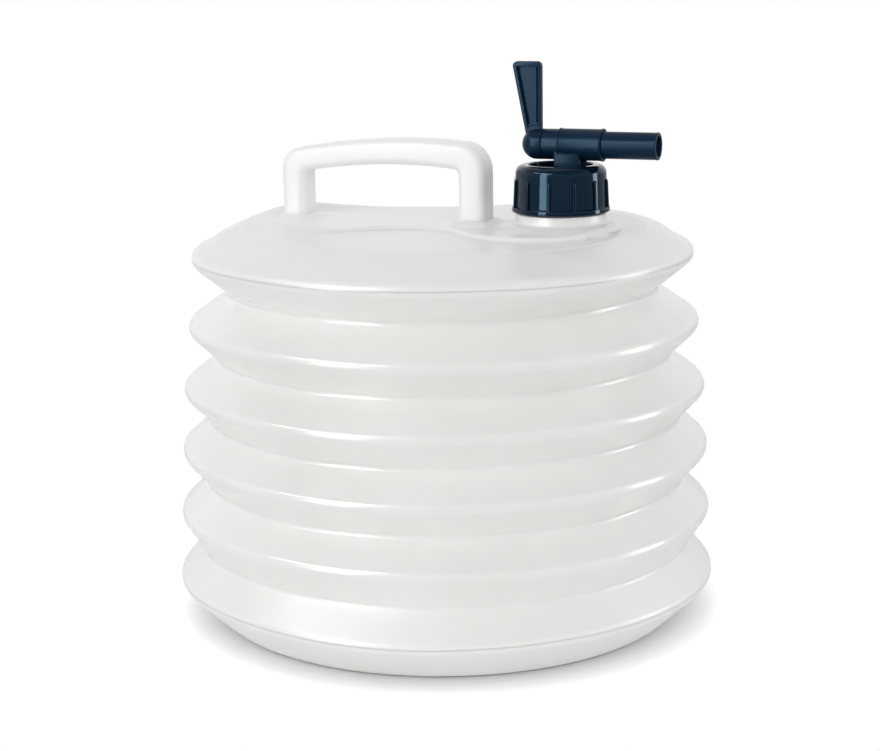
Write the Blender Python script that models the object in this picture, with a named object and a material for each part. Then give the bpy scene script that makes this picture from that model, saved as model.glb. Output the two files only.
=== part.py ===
"""Collapsible water carrier: a soft blow moulded container with a folding wall, a carrying handle and
a threaded filler neck, closed by a ribbed union nut that clamps a lever tap.

Metres, +Z up. The origin is the centre of the base on the floor. +X runs from the handle to the tap.
"""

import math
from collections import namedtuple

import bmesh
import bpy
from mathutils import Matrix, Vector

# Clearances between pieces
SEAT_GAP = 0.0003
TURNING_GAP = 0.0003
CUT_OVERRUN = 0.002

# Roundness of turned shapes, in facets and steps
WALL_SEGMENTS = 48
CAP_SEGMENTS = 48
TAP_SEGMENTS = 32
RIDGE_STEPS = 2
LINING_STEPS = 1
CORNER_STEPS = 4

# Folding wall of the container, from the lowest ridge up
BASE_RADIUS = 0.140
WALL = 0.0011
LOWEST_RIDGE_HEIGHT = 0.0214
FOLD_PITCH = 0.0332
PITCH_SHARES = (1.015, 0.982, 0.955, 0.988, 1.057)
RIDGE_RADIUS_SHARES = (1.0, 0.986, 0.976, 0.962, 0.937, 0.917)
VALLEY_RADIUS_SHARES = (0.914, 0.888, 0.872, 0.835, 0.793)
RIDGE_FILLET = 0.0042
VALLEY_FILLET = 0.0022

# Base
FLOOR_RADIUS = 0.1245
HEEL_FILLET = 0.009
PUSH_UP_RADIUS = 0.092
PUSH_UP = 0.0018
PUSH_UP_SLOPE = 0.006

# Shoulder and deck
SHOULDER_RISE = 0.0118
DECK_HALF_LENGTH = 0.108
DECK_HALF_WIDTH = 0.087
DECK_FILLET = 0.014
DECK_FILLET_LIMIT_SHARE = 0.56

# Raised platform under the handle and the neck, which it passes by a margin
PLATFORM_RISE = 0.0022
PLATFORM_FILLET = 0.0016
PLATFORM_REAR_MARGIN = 0.0032
PLATFORM_FRONT_MARGIN = 0.0056
HANDLE_LOBE_RADIUS = 0.038
NECK_LOBE_RADIUS = 0.0475
WAIST_FILLET = 0.025

# Filler neck
NECK_HEIGHT = 0.0237
NECK_BORE_RADIUS = 0.0165
NECK_RADIUS = 0.0187
NECK_BEAD_RADIUS = 0.0222
NECK_FOOT_RADIUS = 0.0275
NECK_BEAD_THICKNESS = 0.0014
CAP_FOOT_GAP = 0.0006

# Carrying handle, and its place: the handle and the neck share the deck, a little off its middle
LAYOUT_SHIFT = 0.0023
HANDLE_LENGTH = 0.1125
HANDLE_TO_NECK_AXIS = 0.0382
HANDLE_POST_WIDTH = 0.0126
HANDLE_DEPTH = 0.0180
HANDLE_END_HEIGHT = 0.0405
HANDLE_BAR_THICKNESS = 0.0124
HANDLE_ARCH = 0.0028
HANDLE_WALL = 0.0013
HANDLE_EDGE_FILLET = 0.0032
HANDLE_OUTER_CORNER = 0.0125
HANDLE_INNER_CORNER = 0.0038
HANDLE_FOOT_FLARE = 0.0018
HANDLE_FOOT_HEIGHT = 0.0030
HANDLE_BAR_STATIONS = 5

# Seal between the neck's rim and the tap's flange
SEAL_THICKNESS = 0.0020
SEAL_OUTER_RADIUS = 0.0199

# Ribbed union nut
CAP_HEIGHT = 0.0235
CAP_TOP_RADIUS = 0.0226
CAP_FOOT_RADIUS = 0.0234
CAP_SHOULDER_FILLET = 0.0042
CAP_FLANGE_RADIUS = 0.0247
CAP_FLANGE_HEIGHT = 0.0028
CAP_FLANGE_CHAMFER = 0.0005
CAP_PLATE = 0.0025
CAP_HOLE_RADIUS = 0.01615
CAP_HOLE_FILLET = 0.0007
CAP_BORE_RADIUS = 0.0206
CAP_LEAD_IN = 0.0008
RIB_COUNT = 12
RIB_WIDTH = 0.0011
RIB_HEIGHT = 0.0006
RIB_LENGTH = 0.0150
RIB_RUN_OUT = 0.0015

# Tap body
TAP_FLANGE_RADIUS = 0.0200
TAP_FLANGE_THICKNESS = 0.0030
STEM_OFFSET = 0.0052
STEM_LENGTH = 0.0123
STEM_HALF_DEPTH = 0.0070
STEM_EDGE_FILLET = 0.0009
INLET_RADIUS = 0.0036
BARREL_RISE = 0.0098
BARREL_RADIUS = 0.00785
COLLAR_RADIUS = 0.00765
BARREL_LIP_RADIUS = 0.00815
BARREL_LIP_LENGTH = 0.0009
COLLAR_LENGTH = 0.0091
BARREL_TAP_REACH = 0.0156
BARREL_SPOUT_REACH = 0.0171
BRACE_LENGTH = 0.0028
BRACE_HEIGHT = 0.0036
BRACE_THICKNESS = 0.0020

# Rotor: lever, hub, plug and spout in one moulding
PLUG_RADIUS = 0.0067
SPOUT_REACH = 0.0449
SPOUT_BORE_RADIUS = 0.0052
SPOUT_LIP_RADIUS = 0.00685
SPOUT_LIP_LENGTH = 0.0012
BORE_END = 0.0060
HUB_RADIUS = 0.0076
HUB_LENGTH = 0.0019
BLADE_HEIGHT = 0.0407
BLADE_THICKNESS = 0.0038
BLADE_TOP_WIDTH = 0.0156
BLADE_FOOT_WIDTH = 0.0085
BLADE_FOOT_HEIGHT = 0.0050
BLADE_OVERHANG = 0.0009
BLADE_CORNER = 0.0019
BLADE_CLEAR_HEIGHT = 0.0085
BLADE_WEB = 0.0012
BLADE_TOP_RIM = 0.0026
BLADE_OUTER_RIM = 0.0020
BLADE_INNER_RIM = 0.0029
RECESS_FOOT_HEIGHT = 0.0105

# Places along X worked out from the sizes above
LAYOUT_LENGTH = HANDLE_LENGTH + HANDLE_TO_NECK_AXIS + NECK_FOOT_RADIUS
HANDLE_LEFT = LAYOUT_SHIFT - LAYOUT_LENGTH / 2
HANDLE_RIGHT = HANDLE_LEFT + HANDLE_LENGTH
NECK_X = HANDLE_RIGHT + HANDLE_TO_NECK_AXIS
STEM_X = NECK_X + STEM_OFFSET
HANDLE_LOBE_X = HANDLE_LEFT - PLATFORM_REAR_MARGIN + HANDLE_LOBE_RADIUS
NECK_LOBE_X = NECK_X + NECK_FOOT_RADIUS + PLATFORM_FRONT_MARGIN - NECK_LOBE_RADIUS

# Heights worked out from the sizes above
DECK_TOP = LOWEST_RIDGE_HEIGHT + FOLD_PITCH * sum(PITCH_SHARES) + SHOULDER_RISE
PLATFORM_TOP = DECK_TOP + PLATFORM_RISE
NECK_RIM = PLATFORM_TOP + NECK_HEIGHT
SEAL_FOOT = NECK_RIM + SEAT_GAP
TAP_FLANGE_FOOT = SEAL_FOOT + SEAL_THICKNESS + SEAT_GAP
CAP_PLATE_FOOT = TAP_FLANGE_FOOT + TAP_FLANGE_THICKNESS + SEAT_GAP
CAP_TOP = CAP_PLATE_FOOT + CAP_PLATE
CAP_FOOT = CAP_TOP - CAP_HEIGHT
BARREL_Z = CAP_TOP + BARREL_RISE

Round = namedtuple("Round", "r z radius side")
CONVEX = 1
HOLLOW = -1
UP = math.pi / 2


def clear_scene():
    for item in list(bpy.data.objects):
        bpy.data.objects.remove(item, do_unlink=True)


def plastic(name, colour, roughness, alpha=1.0, transmission=0.0):
    material = bpy.data.materials.new(name)
    material.use_nodes = True
    shader = material.node_tree.nodes["Principled BSDF"]
    shader.inputs["Base Color"].default_value = (*colour, 1.0)
    shader.inputs["Roughness"].default_value = roughness
    shader.inputs["Metallic"].default_value = 0.0
    shader.inputs["Alpha"].default_value = alpha
    shader.inputs["Transmission Weight"].default_value = transmission
    material.diffuse_color = (*colour, alpha)
    return material


def empty(name, location, parent=None):
    item = bpy.data.objects.new(name, None)
    item.location = location
    item.empty_display_size = BASE_RADIUS
    bpy.context.scene.collection.objects.link(item)
    attach(item, parent)
    return item


def attach(item, parent):
    if parent is None:
        return
    bpy.context.view_layer.update()
    item.parent = parent
    item.matrix_parent_inverse = parent.matrix_world.inverted()


def solid(name, mesh_data, material=None, location=(0, 0, 0), parent=None, smooth=35):
    """Link a bmesh as an object whose origin is at location, with the mesh in its place."""
    bmesh.ops.recalc_face_normals(mesh_data, faces=mesh_data.faces)
    bmesh.ops.translate(mesh_data, verts=mesh_data.verts, vec=-Vector(location))
    mesh = bpy.data.meshes.new(name)
    mesh_data.to_mesh(mesh)
    mesh_data.free()
    mesh.shade_smooth()
    mesh.set_sharp_from_angle(angle=math.radians(smooth))
    item = bpy.data.objects.new(name, mesh)
    item.location = location
    bpy.context.scene.collection.objects.link(item)
    if material:
        mesh.materials.append(material)
    attach(item, parent)
    return item


def tool(name, mesh_data):
    """A cutter or an added lump, used by a Boolean modifier and left out of the part."""
    item = solid(name, mesh_data)
    item.hide_render = True
    item.display_type = "WIRE"
    return item


def combine(item, operand, operation):
    modifier = item.modifiers.new(operand.name, "BOOLEAN")
    modifier.operation = operation
    modifier.solver = "EXACT"
    modifier.object = operand


# Profiles made of rounds joined by their common tangents

def heading(first, second):
    """Direction of the straight wall that touches two rounds, passing each on its own side."""
    reach = Vector((second.r - first.r, second.z - first.z))
    lean = (second.side * second.radius - first.side * first.radius) / reach.length
    return (math.atan2(reach.y, reach.x) - math.asin(lean)) % (2 * math.pi)


def arc(bend, start, end, steps, inset=0.0):
    """Points of a round between two headings, moved inwards by the inset; with no steps, its middle."""
    radius = (bend.radius - bend.side * inset) * bend.side
    shares = [step / steps for step in range(steps + 1)] if steps else [1 / 2]
    points = []
    for share in shares:
        turn = start + (end - start) * share
        points.append((bend.r + radius * math.sin(turn), bend.z - radius * math.cos(turn)))
    return points


def ridges():
    found = []
    height = LOWEST_RIDGE_HEIGHT
    for level, share in enumerate(RIDGE_RADIUS_SHARES):
        found.append(Round(share * BASE_RADIUS - RIDGE_FILLET, height, RIDGE_FILLET, CONVEX))
        if level < len(PITCH_SHARES):
            height += FOLD_PITCH * PITCH_SHARES[level]
    return found


def valleys():
    found = []
    levels = ridges()
    for level, share in enumerate(VALLEY_RADIUS_SHARES):
        height = (levels[level].z + levels[level + 1].z) / 2
        found.append(Round(share * BASE_RADIUS + VALLEY_FILLET, height, VALLEY_FILLET, HOLLOW))
    return found


def base_path(inset, steps):
    """From the axis over the pushed up floor and the heel to the widest line of the lowest ridge."""
    heel = Round(FLOOR_RADIUS - HEEL_FILLET, HEEL_FILLET, HEEL_FILLET, CONVEX)
    lowest = ridges()[0]
    rise = heading(heel, lowest)
    path = [(0.0, PUSH_UP + inset), (PUSH_UP_RADIUS, PUSH_UP + inset)]
    path.append((PUSH_UP_RADIUS + PUSH_UP_SLOPE, inset))
    path += arc(heel, 0.0, rise, CORNER_STEPS - 1, inset)
    path += arc(lowest, rise, UP, steps, inset)
    return path


def fold_path(inset, steps):
    """The folding wall, from the widest line of the lowest ridge to that of the top one."""
    peaks = ridges()
    troughs = valleys()
    path = []
    arrive = UP
    for level, trough in enumerate(troughs):
        leave = heading(peaks[level], trough)
        climb = heading(trough, peaks[level + 1])
        if level:
            path += arc(peaks[level], arrive, UP, steps, inset)[:-1]
        path += arc(peaks[level], UP, leave, steps, inset)
        path += arc(trough, leave, climb, steps - 1, inset)
        arrive = climb
    path += arc(peaks[-1], arrive, UP, steps, inset)
    return path


def deck_reach(angle):
    """Distance from the axis to the oval edge of the deck."""
    along = math.cos(angle) / DECK_HALF_LENGTH
    across = math.sin(angle) / DECK_HALF_WIDTH
    return 1 / math.hypot(along, across)


def shoulder_path(inset, steps, angle):
    """From the widest line of the top ridge over the shoulder and the deck to the axis."""
    top = ridges()[-1]
    run = top.r + top.radius - deck_reach(angle)
    fillet = min(DECK_FILLET, run * DECK_FILLET_LIMIT_SHARE)
    edge = Round(deck_reach(angle) - fillet / 2, DECK_TOP - fillet, fillet, CONVEX)
    lean = heading(top, edge)
    path = arc(top, UP, lean, steps, inset)
    path += arc(edge, lean, math.pi, CORNER_STEPS - 1, inset)
    path.append((0.0, DECK_TOP - inset))
    return path


def cut_height(path, index, shift):
    """Move one end of a path along the floor's normal, to leave half a seat gap there."""
    radius, height = path[index]
    path[index] = (radius, height + shift)
    return path


# Surfaces from profiles

def skin(columns, closed):
    """Close rows of points round the Z axis; a point on the axis is shared by all columns."""
    data = bmesh.new()
    count = len(columns)
    rows = []
    for level in range(len(columns[0])):
        if columns[0][level][0] == 0.0:
            rows.append([data.verts.new((0.0, 0.0, columns[0][level][1]))] * count)
            continue
        row = []
        for number, column in enumerate(columns):
            angle = 2 * math.pi * number / count
            radius, height = column[level]
            row.append(data.verts.new((radius * math.cos(angle), radius * math.sin(angle), height)))
        rows.append(row)
    pairs = list(zip(rows, rows[1:]))
    if closed:
        pairs.append((rows[-1], rows[0]))
    for lower, upper in pairs:
        for number in range(count):
            after = (number + 1) % count
            corners = [lower[number], lower[after], upper[after], upper[number]]
            data.faces.new(list(dict.fromkeys(corners)))
    return data


def turned(profile, segments, closed=True):
    return skin([profile] * segments, closed)


def moved(data, location):
    bmesh.ops.translate(data, verts=data.verts, vec=location)
    return data


def laid_along_x(data):
    """Turn a shape made round Z so that its axis runs along X."""
    bmesh.ops.rotate(data, verts=data.verts, cent=(0, 0, 0), matrix=Matrix.Rotation(math.pi / 2, 3, "Y"))
    return data


def cylinder(radius, foot, top, segments):
    profile = [(0.0, foot), (radius, foot), (radius, top), (0.0, top)]
    return turned(profile, segments, closed=False)


def loft(rings):
    """Close a stack of outlines with the same number of points."""
    data = bmesh.new()
    rows = [[data.verts.new(point) for point in ring] for ring in rings]
    for lower, upper in zip(rows, rows[1:]):
        for number in range(len(lower)):
            after = (number + 1) % len(lower)
            data.faces.new((lower[number], lower[after], upper[after], upper[number]))
    data.faces.new(reversed(rows[0]))
    data.faces.new(rows[-1])
    return data


def prism(outline, low, high):
    """An outline in X and Z, given thickness along Y."""
    return loft([[(x, low, z) for x, z in outline], [(x, high, z) for x, z in outline]])


# Container

def make_base(material):
    outer = cut_height(base_path(0.0, RIDGE_STEPS), -1, -SEAT_GAP / 2)
    inner = cut_height(base_path(WALL, LINING_STEPS), -1, -SEAT_GAP / 2)
    return solid("base_pan", turned(outer + inner[::-1], WALL_SEGMENTS, closed=False), material)


def make_bellows(material):
    outer = fold_path(0.0, RIDGE_STEPS)
    inner = fold_path(WALL, LINING_STEPS)
    for path in (outer, inner):
        cut_height(path, 0, SEAT_GAP / 2)
        cut_height(path, -1, -SEAT_GAP / 2)
    return solid("folding_wall", turned(outer + inner[::-1], WALL_SEGMENTS), material)


def keyhole(inset, height):
    """Outline of the platform: two round lobes joined by hollow fillets, moved in by the inset."""
    left, right = HANDLE_LOBE_X, NECK_LOBE_X
    reach_left = HANDLE_LOBE_RADIUS + WAIST_FILLET
    reach_right = NECK_LOBE_RADIUS + WAIST_FILLET
    waist_x = (left + right) / 2 + (reach_left ** 2 - reach_right ** 2) / (2 * (right - left))
    waist_y = math.sqrt(reach_left ** 2 - (waist_x - left) ** 2)
    left_turn = math.atan2(waist_y, waist_x - left)
    right_turn = math.atan2(waist_y, waist_x - right)
    points = []

    def sweep(x, y, radius, start, end, steps):
        for step in range(steps):
            turn = start + (end - start) * step / steps
            points.append((x + radius * math.cos(turn), y + radius * math.sin(turn), height))

    steps = 2 * CORNER_STEPS
    neck_radius = NECK_LOBE_RADIUS - inset
    lobe_radius = HANDLE_LOBE_RADIUS - inset
    waist_radius = WAIST_FILLET + inset
    sweep(right, 0.0, neck_radius, -right_turn, right_turn, 2 * steps)
    sweep(waist_x, waist_y, waist_radius, right_turn - math.pi, left_turn - math.pi, steps)
    sweep(left, 0.0, lobe_radius, left_turn, 2 * math.pi - left_turn, 2 * steps)
    sweep(waist_x, -waist_y, waist_radius, math.pi - left_turn, math.pi - right_turn, steps)
    return points


def platform(inset, foot, top):
    """The raised platform, with its top edge rounded."""
    fillet = PLATFORM_FILLET
    slant = fillet * (1 - math.cos(math.pi / 4))
    return loft([
        keyhole(inset, foot),
        keyhole(inset, top - fillet),
        keyhole(inset + slant, top - slant),
        keyhole(inset + fillet, top),
    ])


def make_top_shell(material, parent):
    columns = []
    for number in range(WALL_SEGMENTS):
        angle = 2 * math.pi * number / WALL_SEGMENTS
        outer = cut_height(shoulder_path(0.0, RIDGE_STEPS, angle), 0, SEAT_GAP / 2)
        inner = cut_height(shoulder_path(WALL, LINING_STEPS, angle), 0, SEAT_GAP / 2)
        columns.append(outer[::-1] + inner)
    shell = solid("top_shell", skin(columns, closed=False), material, parent=parent)
    lump = tool("platform_lump", platform(0.0, DECK_TOP - WALL / 2, PLATFORM_TOP))
    pocket = tool("platform_pocket", platform(WALL, DECK_TOP - WALL - CUT_OVERRUN, PLATFORM_TOP - WALL))
    foot = DECK_TOP - WALL - CUT_OVERRUN
    top = PLATFORM_TOP + CUT_OVERRUN
    hole = cylinder(NECK_BORE_RADIUS, foot, top, TAP_SEGMENTS)
    combine(shell, lump, "UNION")
    combine(shell, pocket, "DIFFERENCE")
    combine(shell, tool("neck_hole", moved(hole, (NECK_X, 0, 0))), "DIFFERENCE")
    half_depth = HANDLE_DEPTH / 2 - HANDLE_WALL
    rear_post_x = HANDLE_LEFT
    front_post_x = HANDLE_RIGHT - HANDLE_POST_WIDTH
    for name, post_x in (("rear_handle_hole", rear_post_x), ("front_handle_hole", front_post_x)):
        low = post_x + HANDLE_WALL
        high = post_x + HANDLE_POST_WIDTH - HANDLE_WALL
        outline = [(low, foot), (high, foot), (high, top), (low, top)]
        combine(shell, tool(name, prism(outline, -half_depth, half_depth)), "DIFFERENCE")
    return shell


def make_neck(material, parent):
    """Filler neck with a wide foot, and a bead under the nut; its thread run stays clear of the nut."""
    foot = PLATFORM_TOP + SEAT_GAP
    bead_top = CAP_FOOT - CAP_FOOT_GAP
    bead_foot = bead_top - NECK_BEAD_THICKNESS
    sweep_height = bead_foot - foot
    sweep_width = NECK_FOOT_RADIUS - NECK_BEAD_RADIUS
    profile = [(NECK_FOOT_RADIUS, foot)]
    for step in range(1, CORNER_STEPS + 1):
        turn = UP * step / CORNER_STEPS
        height = foot + sweep_height * (1 - math.cos(turn))
        profile.append((NECK_FOOT_RADIUS - sweep_width * math.sin(turn), height))
    profile += [
        (NECK_BEAD_RADIUS, bead_top),
        (NECK_RADIUS, bead_top),
        (NECK_RADIUS, NECK_RIM),
        (NECK_BORE_RADIUS, NECK_RIM),
        (NECK_BORE_RADIUS, foot),
    ]
    neck_mesh = moved(turned(profile, TAP_SEGMENTS), (NECK_X, 0, 0))
    return solid("filler_neck", neck_mesh, material, (NECK_X, 0, foot), parent)


# Handle

def section(width, depth, fillet):
    """Rounded rectangle: how far out from the inner side, and how far across."""
    points = []
    corners = ((width, depth / 2, 0), (0.0, depth / 2, 1), (0.0, -depth / 2, 2), (width, -depth / 2, 3))
    for out, across, quarter in corners:
        centre_out = out - fillet if out else fillet
        centre_across = across - math.copysign(fillet, across)
        for step in (0, 1, 2):
            turn = UP * (quarter + step / 2)
            points.append((centre_out + fillet * math.cos(turn), centre_across + fillet * math.sin(turn)))
    return points


def handle_stations():
    """Pairs of points on the outer and the inner edge of the handle, with the flare of the foot."""
    foot = PLATFORM_TOP + SEAT_GAP
    top = PLATFORM_TOP + HANDLE_END_HEIGHT
    under = top - HANDLE_BAR_THICKNESS
    left = HANDLE_LEFT
    middle = HANDLE_LEFT + HANDLE_LENGTH / 2
    outer_corner = (left + HANDLE_OUTER_CORNER, top - HANDLE_OUTER_CORNER)
    inner_corner = (left + HANDLE_POST_WIDTH + HANDLE_INNER_CORNER, under - HANDLE_INNER_CORNER)
    post = (left, left + HANDLE_POST_WIDTH)
    half = [
        ((post[0] - HANDLE_FOOT_FLARE, foot), (post[1] + HANDLE_FOOT_FLARE, foot), HANDLE_FOOT_FLARE),
        ((post[0], foot + HANDLE_FOOT_HEIGHT), (post[1], foot + HANDLE_FOOT_HEIGHT), 0.0),
    ]
    for step in range(CORNER_STEPS + 1):
        turn = UP * step / CORNER_STEPS
        across, up = math.cos(turn), math.sin(turn)
        outer = (outer_corner[0] - HANDLE_OUTER_CORNER * across, outer_corner[1] + HANDLE_OUTER_CORNER * up)
        inner = (inner_corner[0] - HANDLE_INNER_CORNER * across, inner_corner[1] + HANDLE_INNER_CORNER * up)
        half.append((outer, inner, 0.0))
    bar = []
    for step in range(1, HANDLE_BAR_STATIONS):
        along = 2 * step / HANDLE_BAR_STATIONS - 1
        rise = HANDLE_ARCH * (1 - along ** 2)
        outer_x = middle + along * (middle - outer_corner[0])
        inner_x = middle + along * (middle - inner_corner[0])
        bar.append(((outer_x, top + rise), (inner_x, under + rise), 0.0))
    mirrored = [((2 * middle - o[0], o[1]), (2 * middle - i[0], i[1]), flare) for o, i, flare in half[::-1]]
    return half + bar + mirrored


def handle_ring(station, inset):
    outer, inner, flare = station
    outer, inner = Vector(outer), Vector(inner)
    width = (outer - inner).length
    out = (outer - inner) / width
    start = inner + out * inset
    depth = HANDLE_DEPTH + 2 * (flare - inset)
    ring = []
    for reach, across in section(width - 2 * inset, depth, HANDLE_EDGE_FILLET - inset):
        spot = start + out * reach
        ring.append((spot.x, across, spot.y))
    return ring


def make_handle(material, parent):
    """Hollow carrying handle, open to the tank through both feet."""
    data = bmesh.new()
    stations = handle_stations()
    outer = [[data.verts.new(point) for point in handle_ring(station, 0.0)] for station in stations]
    inner = [[data.verts.new(point) for point in handle_ring(station, HANDLE_WALL)] for station in stations]
    rows = outer + inner[::-1]
    for lower, upper in zip(rows, rows[1:] + rows[:1]):
        for number in range(len(lower)):
            after = (number + 1) % len(lower)
            data.faces.new((lower[number], lower[after], upper[after], upper[number]))
    place = (HANDLE_LEFT + HANDLE_LENGTH / 2, 0, PLATFORM_TOP + SEAT_GAP)
    return solid("carry_handle", data, material, place, parent)


# Seal and union nut

def make_seal(material, parent):
    top = SEAL_FOOT + SEAL_THICKNESS
    profile = [
        (NECK_BORE_RADIUS, SEAL_FOOT),
        (SEAL_OUTER_RADIUS, SEAL_FOOT),
        (SEAL_OUTER_RADIUS, top),
        (NECK_BORE_RADIUS, top),
    ]
    place = (NECK_X, 0, SEAL_FOOT)
    return solid("seal_ring", moved(turned(profile, TAP_SEGMENTS), (NECK_X, 0, 0)), material, place, parent)


def cap_profile():
    flange_top = CAP_FOOT + CAP_FLANGE_HEIGHT
    fillet = CAP_SHOULDER_FILLET
    shoulder = Round(CAP_TOP_RADIUS - fillet, CAP_TOP - fillet, fillet, CONVEX)
    rim = Round(CAP_HOLE_RADIUS + CAP_HOLE_FILLET, CAP_TOP - CAP_HOLE_FILLET, CAP_HOLE_FILLET, CONVEX)
    profile = [
        (CAP_BORE_RADIUS + CAP_LEAD_IN, CAP_FOOT),
        (CAP_FLANGE_RADIUS - CAP_FLANGE_CHAMFER, CAP_FOOT),
        (CAP_FLANGE_RADIUS, CAP_FOOT + CAP_FLANGE_CHAMFER),
        (CAP_FLANGE_RADIUS, flange_top - CAP_FLANGE_CHAMFER),
        (CAP_FLANGE_RADIUS - CAP_FLANGE_CHAMFER, flange_top),
        (CAP_FOOT_RADIUS, flange_top),
    ]
    profile += arc(shoulder, UP, math.pi, CORNER_STEPS)
    profile += arc(rim, math.pi, UP * 3, CORNER_STEPS // 2)
    profile += [
        (CAP_HOLE_RADIUS, CAP_PLATE_FOOT),
        (CAP_BORE_RADIUS, CAP_PLATE_FOOT),
        (CAP_BORE_RADIUS, CAP_FOOT + CAP_LEAD_IN),
    ]
    return profile


def cap_side_radius(height):
    """Outer radius of the nut's drafted side at a height."""
    foot = CAP_FOOT + CAP_FLANGE_HEIGHT
    top = CAP_TOP - CAP_SHOULDER_FILLET
    share = (height - foot) / (top - foot)
    return CAP_FOOT_RADIUS + (CAP_TOP_RADIUS - CAP_FOOT_RADIUS) * share


def cap_ribs():
    """Upright grip ribs round the nut, sunk half their width into its side and tapered at the top."""
    data = bmesh.new()
    foot = CAP_FOOT + CAP_FLANGE_HEIGHT - CAP_FLANGE_CHAMFER
    top = CAP_FOOT + CAP_FLANGE_HEIGHT + RIB_LENGTH
    levels = ((foot, RIB_HEIGHT), (top - RIB_RUN_OUT, RIB_HEIGHT), (top, -RIB_WIDTH / 2))
    root = CAP_TOP_RADIUS - RIB_WIDTH
    for number in range(RIB_COUNT):
        turn = 2 * math.pi * (number + 1 / 2) / RIB_COUNT
        out = Vector((math.cos(turn), math.sin(turn), 0))
        side = Vector((-math.sin(turn), math.cos(turn), 0)) * RIB_WIDTH / 2
        rings = []
        for height, proud in levels:
            outside = out * (cap_side_radius(height) + proud)
            inside = out * root
            spots = (inside - side, outside - side, outside + side, inside + side)
            rings.append([data.verts.new(spot + Vector((NECK_X, 0, height))) for spot in spots])
        for lower, upper in zip(rings, rings[1:]):
            for corner in range(len(lower)):
                after = (corner + 1) % len(lower)
                data.faces.new((lower[corner], lower[after], upper[after], upper[corner]))
        data.faces.new(rings[0][::-1])
        data.faces.new(rings[-1])
    return data


def make_cap(material, parent):
    cap_mesh = moved(turned(cap_profile(), CAP_SEGMENTS), (NECK_X, 0, 0))
    cap = solid("union_nut", cap_mesh, material, (NECK_X, 0, CAP_FOOT), parent)
    combine(cap, tool("nut_ribs", cap_ribs()), "UNION")
    return cap


# Tap body and rotor; their X is measured from the stem's axis

def box_outline(length, half_depth, fillet, height):
    """Rounded rectangle round the stem's axis, at a height."""
    ring = []
    for across, turn_start in ((1, 0), (-1, 1)):
        for along, quarter in ((across, 0), (-across, 1)):
            centre_x = along * (length / 2 - fillet)
            centre_y = across * (half_depth - fillet)
            for step in (0, 1, 2):
                turn = UP * (2 * turn_start + quarter + step / 2)
                x = centre_x + fillet * math.cos(turn)
                y = centre_y + fillet * math.sin(turn)
                ring.append((x, y, height))
    return ring


def make_tap_body(material, parent):
    barrel = [
        (0.0, -BARREL_TAP_REACH + TURNING_GAP),
        (COLLAR_RADIUS, -BARREL_TAP_REACH + TURNING_GAP),
        (COLLAR_RADIUS, COLLAR_LENGTH - BARREL_TAP_REACH),
        (BARREL_RADIUS, COLLAR_LENGTH - BARREL_TAP_REACH),
        (BARREL_RADIUS, BARREL_SPOUT_REACH - BARREL_LIP_LENGTH),
        (BARREL_LIP_RADIUS, BARREL_SPOUT_REACH - BARREL_LIP_LENGTH),
        (BARREL_LIP_RADIUS, BARREL_SPOUT_REACH),
        (0.0, BARREL_SPOUT_REACH),
    ]
    bore_radius = PLUG_RADIUS + TURNING_GAP
    flange_top = TAP_FLANGE_FOOT + TAP_FLANGE_THICKNESS
    body_mesh = moved(laid_along_x(turned(barrel, TAP_SEGMENTS, closed=False)), (STEM_X, 0, BARREL_Z))
    body = solid("tap_body", body_mesh, material, (NECK_X, 0, TAP_FLANGE_FOOT), parent)

    flange = moved(cylinder(TAP_FLANGE_RADIUS, TAP_FLANGE_FOOT, flange_top, TAP_SEGMENTS), (NECK_X, 0, 0))
    stem_foot = flange_top - TAP_FLANGE_THICKNESS / 2
    stem = moved(loft([
        box_outline(STEM_LENGTH, STEM_HALF_DEPTH, STEM_EDGE_FILLET, stem_foot),
        box_outline(STEM_LENGTH, STEM_HALF_DEPTH, STEM_EDGE_FILLET, BARREL_Z),
    ]), (STEM_X, 0, 0))
    brace_top = BARREL_Z - BARREL_RADIUS + BRACE_THICKNESS / 2
    stem_side = STEM_X + STEM_LENGTH / 2
    brace = prism([
        (stem_side - BRACE_LENGTH / 2, brace_top - BRACE_HEIGHT),
        (stem_side, brace_top - BRACE_HEIGHT),
        (stem_side + BRACE_LENGTH, brace_top),
        (stem_side - BRACE_LENGTH / 2, brace_top),
    ], -BRACE_THICKNESS / 2, BRACE_THICKNESS / 2)
    bore_low = -BARREL_TAP_REACH - CUT_OVERRUN
    bore_high = BARREL_SPOUT_REACH + CUT_OVERRUN
    bore = laid_along_x(cylinder(bore_radius, bore_low, bore_high, TAP_SEGMENTS))
    inlet = cylinder(INLET_RADIUS, TAP_FLANGE_FOOT - CUT_OVERRUN, BARREL_Z, TAP_SEGMENTS // 2)
    combine(body, tool("tap_stem", stem), "UNION")
    combine(body, tool("tap_brace", brace), "UNION")
    combine(body, tool("tap_flange", flange), "UNION")
    combine(body, tool("barrel_bore", moved(bore, (STEM_X, 0, BARREL_Z))), "DIFFERENCE")
    combine(body, tool("inlet_bore", moved(inlet, (STEM_X, 0, 0))), "DIFFERENCE")
    return body


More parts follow.
